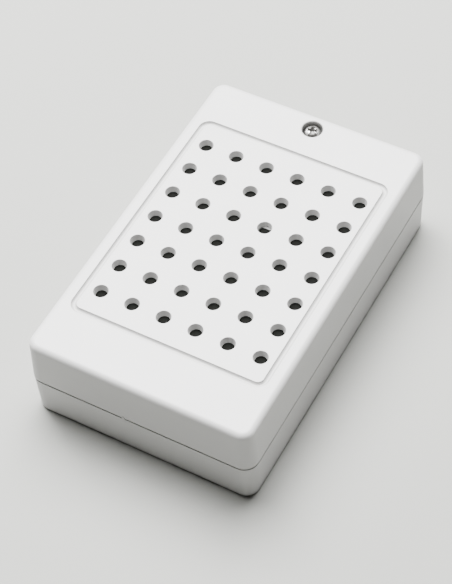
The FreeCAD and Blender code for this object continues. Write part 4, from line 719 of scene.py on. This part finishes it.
class SOUNDER_OT_cover_screw(bpy.types.Operator):
    """Build the cover screw with a domed head, a driver's cross and a winding thread"""
    bl_idname = "sounder.cover_screw"
    bl_label = "Cover Screw"

    def execute(self, context):
        look = context.scene.sounder.screw
        low, high = box_mm("cover_screw")
        centre = middle_mm("cover_screw")
        head_radius = (high.x - low.x) / 2
        seat = high.z - 2.3
        rim = seat + 0.95
        dome = [(head_radius * math.cos(math.radians(angle)),
                 rim + (high.z - rim) * math.sin(math.radians(angle))) for angle in range(8, 91, 6)]
        outline = [(0, seat - 0.4), (1.25, seat - 0.4), (1.25, seat), (head_radius - 0.12, seat),
                   (head_radius, seat + 0.12), (head_radius, rim)] + dome + [(0, high.z)]
        head = turned_mesh(outline, centre=centre)
        cross = self.cross(look, centre, high.z)
        finish = driven_screw(look, centre, high.z)
        piece = new_piece("cover_screw_head", head, finish, "cover_fastener", ["cover_screw"])
        self.cut(piece, cross, look.cross_turn)
        thread_length = seat - 1.2 - low.z - 2.0
        shank = turned_mesh([(0, low.z), (0.25, low.z + 0.35), (1.02, low.z + 2.1), (1.02, seat - 0.2),
                             (0, seat - 0.2)], steps=48, centre=centre)
        ridge = [(0.95, 0.0), (0.95, 0.62), (1.42, 0.36), (1.42, 0.26)]
        turns = thread_length / (look.thread_pitch / MM)
        added(shank, turned_mesh(ridge, steps=int(turns * 40), centre=centre, shift=(0, 0, low.z + 1.6),
                                 turns=turns, rise=thread_length))
        new_piece("cover_screw_shank", shank, finish, "cover_fastener", ["cover_screw"])
        return {"FINISHED"}

    def cross(self, look, centre, top):
        """Two crossed wedges that narrow towards the bottom."""
        depth = look.slot_depth / MM
        width = look.slot_width / MM
        cutter = bmesh.new()
        for quarter in (0, 1):
            arm = block_mesh((-1.9, -width / 2, top - depth), (1.9, width / 2, top + 0.5))
            foot = [vert for vert in arm.verts if vert.co.z < top]
            bmesh.ops.scale(arm, verts=foot, vec=(0.42, 0.62, 1.0))
            bmesh.ops.rotate(arm, verts=arm.verts, cent=(0, 0, 0),
                             matrix=Matrix.Rotation(math.pi / 2 * quarter, 3, "Z"))
            bmesh.ops.translate(arm, verts=arm.verts, vec=(*centre, 0))
            added(cutter, arm)
        return cutter

    def cut(self, piece, cutter_mesh, turn):
        """Cuts the cross out of the head and eases its lips."""
        centre = sum((vert.co for vert in cutter_mesh.verts), Vector()) / len(cutter_mesh.verts)
        bmesh.ops.rotate(cutter_mesh, verts=cutter_mesh.verts, cent=centre,
                         matrix=Matrix.Rotation(turn, 3, "Z"))
        bmesh.ops.scale(cutter_mesh, verts=cutter_mesh.verts, vec=(MM, MM, MM))
        mesh = bpy.data.meshes.new("cross")
        cutter_mesh.to_mesh(mesh)
        cutter_mesh.free()
        cutter = bpy.data.objects.new("cross", mesh)
        bpy.context.scene.collection.objects.link(cutter)
        boolean = piece.modifiers.new("Cross", "BOOLEAN")
        boolean.object = cutter
        boolean.operation = "DIFFERENCE"
        boolean.use_self = True
        bevel = piece.modifiers.new("Lips", "BEVEL")
        bevel.width = 0.05 * MM
        bevel.segments = 2
        bevel.limit_method = "ANGLE"
        bevel.angle_limit = math.radians(38)
        view_layer = bpy.context.evaluated_depsgraph_get()
        view_layer.update()
        finished = bpy.data.meshes.new_from_object(piece.evaluated_get(view_layer))
        if len(finished.polygons) < 400:
            raise RuntimeError("the cross left too little of the screw head")
        piece.modifiers.clear()
        old = piece.data
        piece.data = finished
        bpy.data.meshes.remove(old)
        bpy.data.objects.remove(cutter)
        finished.set_sharp_from_angle(angle=math.radians(32))


class SOUNDER_OT_grille_cloth(bpy.types.Operator):
    """Stretch the black cloth behind the grille"""
    bl_idname = "sounder.grille_cloth"
    bl_label = "Grille Cloth"

    def execute(self, context):
        look = context.scene.sounder.cloth
        low, high = box_mm("dust_cloth")
        middle = (low + high) / 2
        half = (high - low) / 2
        bm = bmesh.new()
        bmesh.ops.create_grid(bm, x_segments=60, y_segments=70, size=1.0)
        bmesh.ops.scale(bm, verts=bm.verts, vec=(half.x - 0.1, half.y - 0.1, 1.0))
        bmesh.ops.translate(bm, verts=bm.verts, vec=(middle.x, middle.y, high.z - 0.06))
        for vert in bm.verts:
            hollow = abs(math.sin(math.pi * vert.co.x / 10) * math.sin(math.pi * vert.co.y / 10))
            vert.co.z -= look.sag / MM * hollow
        finish = woven_cloth("grille_cloth", look.colour, look.thread / MM)
        piece = new_piece("grille_cloth", bm, finish, "cover", ["dust_cloth"])
        solid = piece.modifiers.new("Thickness", "SOLIDIFY")
        solid.thickness = 0.12 * MM
        solid.offset = -1.0
        return {"FINISHED"}


class SOUNDER_OT_loudspeaker(bpy.types.Operator):
    """Finish the loudspeaker's metal and build its cone, cap, rolled edge, spider, leads, coil and gasket"""
    bl_idname = "sounder.loudspeaker"
    bl_label = "Loudspeaker"

    def execute(self, context):
        look = context.scene.sounder.speaker
        steel = sheet_steel("speaker_steel", look.steel, 0.3)
        steel.dress("speaker_basket", "speaker_front_plate", "speaker_yoke", "speaker_clip_1",
                    "speaker_clip_2", "speaker_clip_3", "speaker_clip_4")
        ferrite_ceramic().dress("speaker_magnet")
        fibre_strip().dress("speaker_tag_strip")
        former = pressed_paper("coil_former_paper", (0.38, 0.24, 0.12))
        former.dress("voice_coil_former")
        self.cone(look)
        self.dust_cap(look)
        self.rolled_edge()
        self.spider()
        self.flexible_leads()
        self.coil(look)
        self.gasket()
        return {"FINISHED"}

    def cone(self, look):
        """The cone flares to its rim and has pressed rings."""
        low, high = box_mm("speaker_cone")
        neck = 6.72
        rim = high.x
        land = rim - 1.0
        foot = low.z + 0.4
        steps = 44
        upper = []
        for index in range(steps + 1):
            share = index / steps
            radius = neck + (land - neck) * share
            height = foot + (high.z - foot) * share ** 1.2
            ring = math.sin(math.pi * share * look.rib_count) ** 8 if 0.2 < share < 0.97 else 0.0
            upper.append((radius, height + ring * look.rib_height / MM))
        upper.append((rim, high.z))
        lower = [(radius, height - 0.34) for radius, height in reversed(upper)]
        finish = pressed_paper("cone_paper", look.paper)
        new_piece("cone", turned_mesh(upper + lower), finish, "cone", ["speaker_cone"],
                  crease_deg=50)

    def dust_cap(self, look):
        low, high = box_mm("speaker_dust_cap")
        radius = high.x
        foot = low.z
        upper = [(radius, foot), (radius + 0.25, foot), (radius + 0.1, foot + 0.2)]
        rise = high.z - foot - 0.2
        for x, z in arc_points((0, 0), 1.0, 8, 90, 14):
            upper.append((radius * x * 0.985, foot + 0.2 + rise * z))
        inner = [(max(x - 0.28, 0.0), z - 0.24) for x, z in reversed(upper[3:])]
        finish = pressed_paper("dust_cap_cloth", look.cap)
        new_piece("dust_cap", turned_mesh(upper + inner, steps=72), finish, "cone",
                  ["speaker_dust_cap"], crease_deg=50)

    def rolled_edge(self):
        """One half roll between the cone's rim and the flange."""
        low, high = box_mm("speaker_surround")
        inner = 19.8
        start, end = 20.6, 22.5
        centre = (start + end) / 2
        roll = (end - start) / 2
        lower = [(inner, low.z)]
        lower += [(centre - roll * math.cos(angle), low.z + 0.8 * math.sin(angle))
                  for angle in [math.pi * index / 14 for index in range(15)]]
        lower.append((high.x, low.z))
        upper = [(radius, height + 0.22) for radius, height in reversed(lower)]
        finish = moulded_plastic("rolled_edge_rubber", (0.022, 0.022, 0.023), 0.6, 0.5, 0.2, 0.05)
        bending_ring("rolled_edge", lower + upper, finish, "speaker_surround",
                     sectors=24)

    def spider(self):
        level = box_mm("speaker_spider")[0].z + 0.4
        start, end, foot = 7.05, 13.3, 15.9
        lower = [(6.78, level)]
        for index in range(49):
            share = index / 48
            lower.append((start + (end - start) * share, level + 0.4 * math.sin(FULL_TURN * 4 * share)))
        lower.append((foot, level))
        upper = [(radius, height + 0.28) for radius, height in reversed(lower)]
        finish = coated_cloth("spider_cloth", (0.50, 0.28, 0.08))
        bending_ring("spider", lower + upper, finish, "speaker_spider",
                     sectors=16)

    def flexible_leads(self):
        """The two leads between their tags and the cone, copied from the CAD mesh."""
        bm = bmesh.new()
        bm.from_mesh(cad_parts["tinsel_leads"].data)
        bmesh.ops.scale(bm, verts=bm.verts, vec=(1 / MM, 1 / MM, 1 / MM))
        bmesh.ops.remove_doubles(bm, verts=bm.verts, dist=0.0005)
        piece = new_piece("flexible_leads", bm, braided_lead(), None, ["tinsel_leads"])
        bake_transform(piece)

    def coil(self, look):
        """Close turns of round wire, each a closed ring."""
        low, high = box_mm("voice_coil_winding")
        wire = (high.z - low.z) / (2 * look.coil_turns)
        bm = bmesh.new()
        for index in range(look.coil_turns):
            centre = (high.x - wire, low.z + wire * (2 * index + 1))
            ring = arc_points(centre, wire, 0, 360 - 360 / 8, 7)
            added(bm, turned_mesh(ring, steps=72))
        core = [(6.71, low.z + 0.02), (high.x - wire, low.z + 0.02), (high.x - wire, high.z - 0.02),
                (6.71, high.z - 0.02)]
        added(bm, turned_mesh(core, steps=72))
        new_piece("coil_turns", bm, copper_coil(), "cone", ["voice_coil_winding"])

    def gasket(self):
        """The foam ring, a little crowned on top and drawn in at its sides."""
        low, high = box_mm("speaker_gasket")
        inner = high.x - 1.5
        outer = high.x
        middle = (inner + outer) / 2
        half = (outer - inner) / 2
        rise = high.z - low.z
        side = [(0.0, 1.0), (0.10, 0.93), (0.35, 0.88), (0.65, 0.88), (0.88, 0.92), (0.97, 0.80), (1.0, 0.45)]
        right = [(middle + half * width, low.z + rise * height) for height, width in side]
        left = [(middle - half * width, low.z + rise * height) for height, width in reversed(side)]
        finish = soft_foam("gasket_foam", (0.030, 0.030, 0.031))
        piece = new_piece("gasket_foam", turned_mesh(right + left), finish, "base",
                          ["speaker_gasket"], crease_deg=60)


class SOUNDER_OT_circuit_board(bpy.types.Operator):
    """Finish the board and lay its tracks and printed outlines"""
    bl_idname = "sounder.circuit_board"
    bl_label = "Circuit Board"

    def execute(self, context):
        look = context.scene.sounder.board
        board_laminate(look).dress("circuit_board")
        self.tracks(look)
        self.printed_lines(look)
        return {"FINISHED"}

    def tracks(self, look):
        """Low ridges of lacquer over the copper tracks on the part side."""
        top = box_mm("circuit_board")[1].z
        width = look.track_width / MM
        routes = (((6.6, -28.0), (6.6, -30.6), (2.0, -35.2), (2.0, -37.4)),
                  ((17.6, -28.0), (19.3, -29.7), (19.3, -36.4), (17.5, -37.6)),
                  ((-19.0, -46.1), (-19.0, -48.9), (4.0, -48.9), (5.5, -47.4), (5.5, -44.0)),
                  ((-14.0, -46.1), (-14.0, -47.9), (-9.0, -47.9), (-9.0, -46.1)),
                  ((-24.0, -28.4), (-14.0, -28.4), (-8.0, -34.0), (-5.2, -34.0)),
                  ((-26.2, -36.3), (-20.6, -36.3), (-19.8, -37.1)),
                  ((9.1, -43.0), (11.6, -43.0), (11.6, -47.8), (22.0, -47.8), (22.0, -45.4)),
                  ((-2.2, -42.8), (-2.2, -41.9), (3.0, -41.9)),
                  ((8.0, -35.2), (5.0, -38.2), (5.0, -40.6)))
        bm = bmesh.new()
        for route in routes:
            for start, end in zip(route, route[1:]):
                added(bm, self.strip(start, end, width, top + 0.035))
        finish = moulded_plastic("lacquered_track", look.track, 0.28, 0.8, 0.1, 0.05)
        new_piece("board_tracks", bm, finish, "base")

    def strip(self, start, end, width, top, height=0.05):
        """A thin bar with round ends from one point to the other."""
        run = Vector(end) - Vector(start)
        bm = bmesh.new()
        bmesh.ops.create_circle(bm, cap_ends=True, segments=16, radius=width / 2)
        far = [vert for vert in bm.verts if vert.co.x > 1e-6]
        bmesh.ops.translate(bm, verts=far, vec=(run.length, 0, 0))
        raised = bmesh.ops.extrude_face_region(bm, geom=list(bm.faces))
        lifted = [item for item in raised["geom"] if isinstance(item, bmesh.types.BMVert)]
        bmesh.ops.translate(bm, verts=lifted, vec=(0, 0, height))
        turn = Matrix.Rotation(math.atan2(run.y, run.x), 3, "Z")
        bmesh.ops.rotate(bm, verts=bm.verts, cent=(0, 0, 0), matrix=turn)
        bmesh.ops.translate(bm, verts=bm.verts, vec=(*start, top - height))
        return bm

    def printed_lines(self, look):
        """Printed outlines round the parts, with no lettering."""
        top = box_mm("circuit_board")[1].z + 0.03
        width = look.ink_width / MM
        bm = bmesh.new()
        for node, margin in (("terminal_block", 0.5), ("trimmer_body", 0.5), ("tone_chip", 0.5),
                             ("film_capacitor", 0.45)):
            low, high = box_mm(node)
            corners = [(low.x - margin, low.y - margin), (high.x + margin, low.y - margin),
                       (high.x + margin, high.y + margin), (low.x - margin, high.y + margin)]
            for start, end in zip(corners, corners[1:] + corners[:1]):
                added(bm, self.strip(start, end, width, top))
        for node, margin in (("electrolytic_capacitor", 0.5), ("transistor", 0.45)):
            low, high = box_mm(node)
            radius = (high.x - low.x) / 2 + margin
            ring = [(radius - width / 2, top - 0.05), (radius + width / 2, top - 0.05),
                    (radius + width / 2, top), (radius - width / 2, top)]
            added(bm, turned_mesh(ring, steps=64, centre=middle_mm(node)))
        finish = moulded_plastic("printed_ink", look.ink, 0.55, 0.15, 0.15, 0.06)
        new_piece("board_outlines", bm, finish, "base")


class SOUNDER_OT_board_parts(bpy.types.Operator):
    """Finish the parts on the board"""
    bl_idname = "sounder.board_parts"
    bl_label = "Board Parts"

    def execute(self, context):
        chip_low = box_mm("tone_chip")[0]
        transistor_x = middle_mm("transistor")[0]
        transistor_y = box_mm("transistor")[0].y + 1.4
        banded_resistor().dress("resistors")
        diode_epoxy().dress("diodes")
        can_sleeve().dress("electrolytic_capacitor")
        dipped_film().dress("film_capacitor")
        chip_epoxy("chip_epoxy", chip_low.x + 1.6, chip_low.y + 1.5).dress("tone_chip")
        chip_epoxy("transistor_epoxy", transistor_x, transistor_y).dress("transistor")
        bright_solder().dress("solder_joints")
        tinned_metal().dress("speaker_tags", "terminal_contacts", "trimmer_pins", "electrolytic_leads",
                             "chip_legs", "resistor_leads", "diode_leads", "film_capacitor_leads",
                             "transistor_legs")
        for colour, tint in (("red", (0.42, 0.015, 0.012)), ("black", (0.018, 0.018, 0.019))):
            wire_sleeve(f"{colour}_insulation", tint).dress(f"speaker_wire_{colour}")
        screws = sheet_steel("small_screw_plating", (0.66, 0.64, 0.55), 0.26, (4.0, 4.0, 0.3))
        screws.dress("board_screws", "speaker_clip_screws")
        return {"FINISHED"}


class SOUNDER_OT_terminals(bpy.types.Operator):
    """Finish the terminal block with its clamps and screws"""
    bl_idname = "sounder.terminals"
    bl_label = "Terminals"

    def execute(self, context):
        moulding = moulded_plastic("terminal_moulding", (0.020, 0.155, 0.075), 0.38, 0.2, 0.12, 0.05)
        moulding.dress("terminal_block")
        for number in (1, 2, 3):
            screw = f"terminal_screw_{number}"
            plating = turned_metal(f"terminal_screw_plating_{number}", (0.68, 0.67, 0.62), 0.26,
                                   *middle_mm(screw))
            plating.dress(screw)
            steel = sheet_steel(f"clamp_plating_{number}", (0.66, 0.60, 0.42), 0.3, (4.0, 0.3, 4.0))
            steel.dress(f"terminal_clamp_{number}")
        return {"FINISHED"}


class SOUNDER_OT_volume_trimmer(bpy.types.Operator):
    """Finish the volume trimmer"""
    bl_idname = "sounder.volume_trimmer"
    bl_label = "Volume Trimmer"

    def execute(self, context):
        moulded_plastic("trimmer_moulding", (0.030, 0.115, 0.300), 0.4, 0.2, 0.12, 0.05).dress("trimmer_body")
        moulded_plastic("rotor_moulding", (0.66, 0.63, 0.54), 0.42, 0.2, 0.12, 0.05).dress("trimmer_rotor")
        return {"FINISHED"}


class SOUNDER_OT_stage(bpy.types.Operator):
    """Set up the floor, the soft lights and the camera"""
    bl_idname = "sounder.stage"
    bl_label = "Stage"

    def execute(self, context):
        look = context.scene.sounder.stage
        self.floor(look)
        self.lights(context, look)
        self.camera(context, look)
        return {"FINISHED"}

    def floor(self, look):
        bm = bmesh.new()
        bmesh.ops.create_grid(bm, x_segments=1, y_segments=1, size=4.0)
        mesh = bpy.data.meshes.new("floor")
        bm.to_mesh(mesh)
        bm.free()
        finish = Finish("studio_floor")
        paper = finish.noise(40.0, 2.0)
        finish.set("Base Color", finish.blend(paper, darker(look.floor, 0.99), look.floor))
        finish.set("Roughness", 0.8 + paper * 0.1)
        mesh.materials.append(finish.material)
        floor = bpy.data.objects.new("floor", mesh)
        bpy.context.scene.collection.objects.link(floor)

    def lights(self, context, look):
        world = bpy.data.worlds.new("studio")
        world.use_nodes = True
        background = world.node_tree.nodes["Background"]
        background.inputs["Color"].default_value = (1, 1, 1, 1)
        background.inputs["Strength"].default_value = look.surround
        context.scene.world = world
        self.softbox(context, "key", look.key, (0.8, 0.8), (-0.24, 0.32, 0.9))
        self.softbox(context, "fill", look.fill, (0.25, 0.25), (0.32, 0.38, 0.2))
        self.softbox(context, "side", look.side, (0.3, 0.3), (-0.6, 0.2, 0.26))

    def softbox(self, context, name, power, size, place):
        light = bpy.data.lights.new(name, "AREA")
        light.shape = "RECTANGLE"
        light.size, light.size_y = size
        light.energy = power
        lamp = bpy.data.objects.new(name, light)
        lamp.location = place
        lamp.rotation_euler = (Vector((0, 0, 0.015)) - Vector(place)).to_track_quat("-Z", "Y").to_euler()
        context.scene.collection.objects.link(lamp)

    def camera(self, context, look):
        """The camera's axes come from its right, down and forward directions in the row frame."""
        data = bpy.data.cameras.new("camera")
        data.sensor_width = 36.0
        data.lens = look.lens
        data.clip_start = 0.01
        right = Vector((0.8762, 0.4791, -0.0511)).normalized()
        forward = Vector((-0.3267, 0.5128, -0.7939)).normalized()
        up = right.cross(forward).normalized()
        turn = Matrix((right, up, -forward)).transposed().to_4x4()
        camera = bpy.data.objects.new("camera", data)
        camera.matrix_world = Matrix.Translation(look.place) @ turn
        context.scene.collection.objects.link(camera)
        context.scene.camera = camera


class SOUNDER_PT_panel(bpy.types.Panel):
    """Lists the sounder's pieces and what can be changed"""
    bl_label = "Sounder"
    bl_idname = "SOUNDER_PT_panel"
    bl_space_type = "VIEW_3D"
    bl_region_type = "UI"
    bl_category = "Sounder"

    def draw(self, context):
        look = context.scene.sounder
        for operator, group in ((SOUNDER_OT_case, look.case), (SOUNDER_OT_cover_screw, look.screw),
                                (SOUNDER_OT_grille_cloth, look.cloth), (SOUNDER_OT_loudspeaker, look.speaker),
                                (SOUNDER_OT_circuit_board, look.board), (SOUNDER_OT_board_parts, None),
                                (SOUNDER_OT_terminals, None), (SOUNDER_OT_volume_trimmer, None),
                                (SOUNDER_OT_stage, look.stage)):
            box = self.layout.box()
            box.operator(operator.bl_idname)
            for name in group.__annotations__ if group else ():
                box.prop(group, name)


CLASSES = (CaseLook, ScrewLook, ClothLook, SpeakerLook, BoardLook, StageLook, SounderLook,
           SOUNDER_OT_case, SOUNDER_OT_cover_screw, SOUNDER_OT_grille_cloth, SOUNDER_OT_loudspeaker,
           SOUNDER_OT_circuit_board, SOUNDER_OT_board_parts, SOUNDER_OT_terminals,
           SOUNDER_OT_volume_trimmer, SOUNDER_OT_stage, SOUNDER_PT_panel)


def register():
    for cls in CLASSES:
        bpy.utils.register_class(cls)
    bpy.types.Scene.sounder = PointerProperty(type=SounderLook)


def unregister():
    del bpy.types.Scene.sounder
    for cls in reversed(CLASSES):
        bpy.utils.unregister_class(cls)


def main():
    register()
    bpy.ops.sounder.stage()
    bpy.ops.sounder.case()
    bpy.ops.sounder.cover_screw()
    bpy.ops.sounder.grille_cloth()
    bpy.ops.sounder.loudspeaker()
    bpy.ops.sounder.circuit_board()
    bpy.ops.sounder.board_parts()
    bpy.ops.sounder.terminals()
    bpy.ops.sounder.volume_trimmer()


if __name__ == "__main__":
    main()
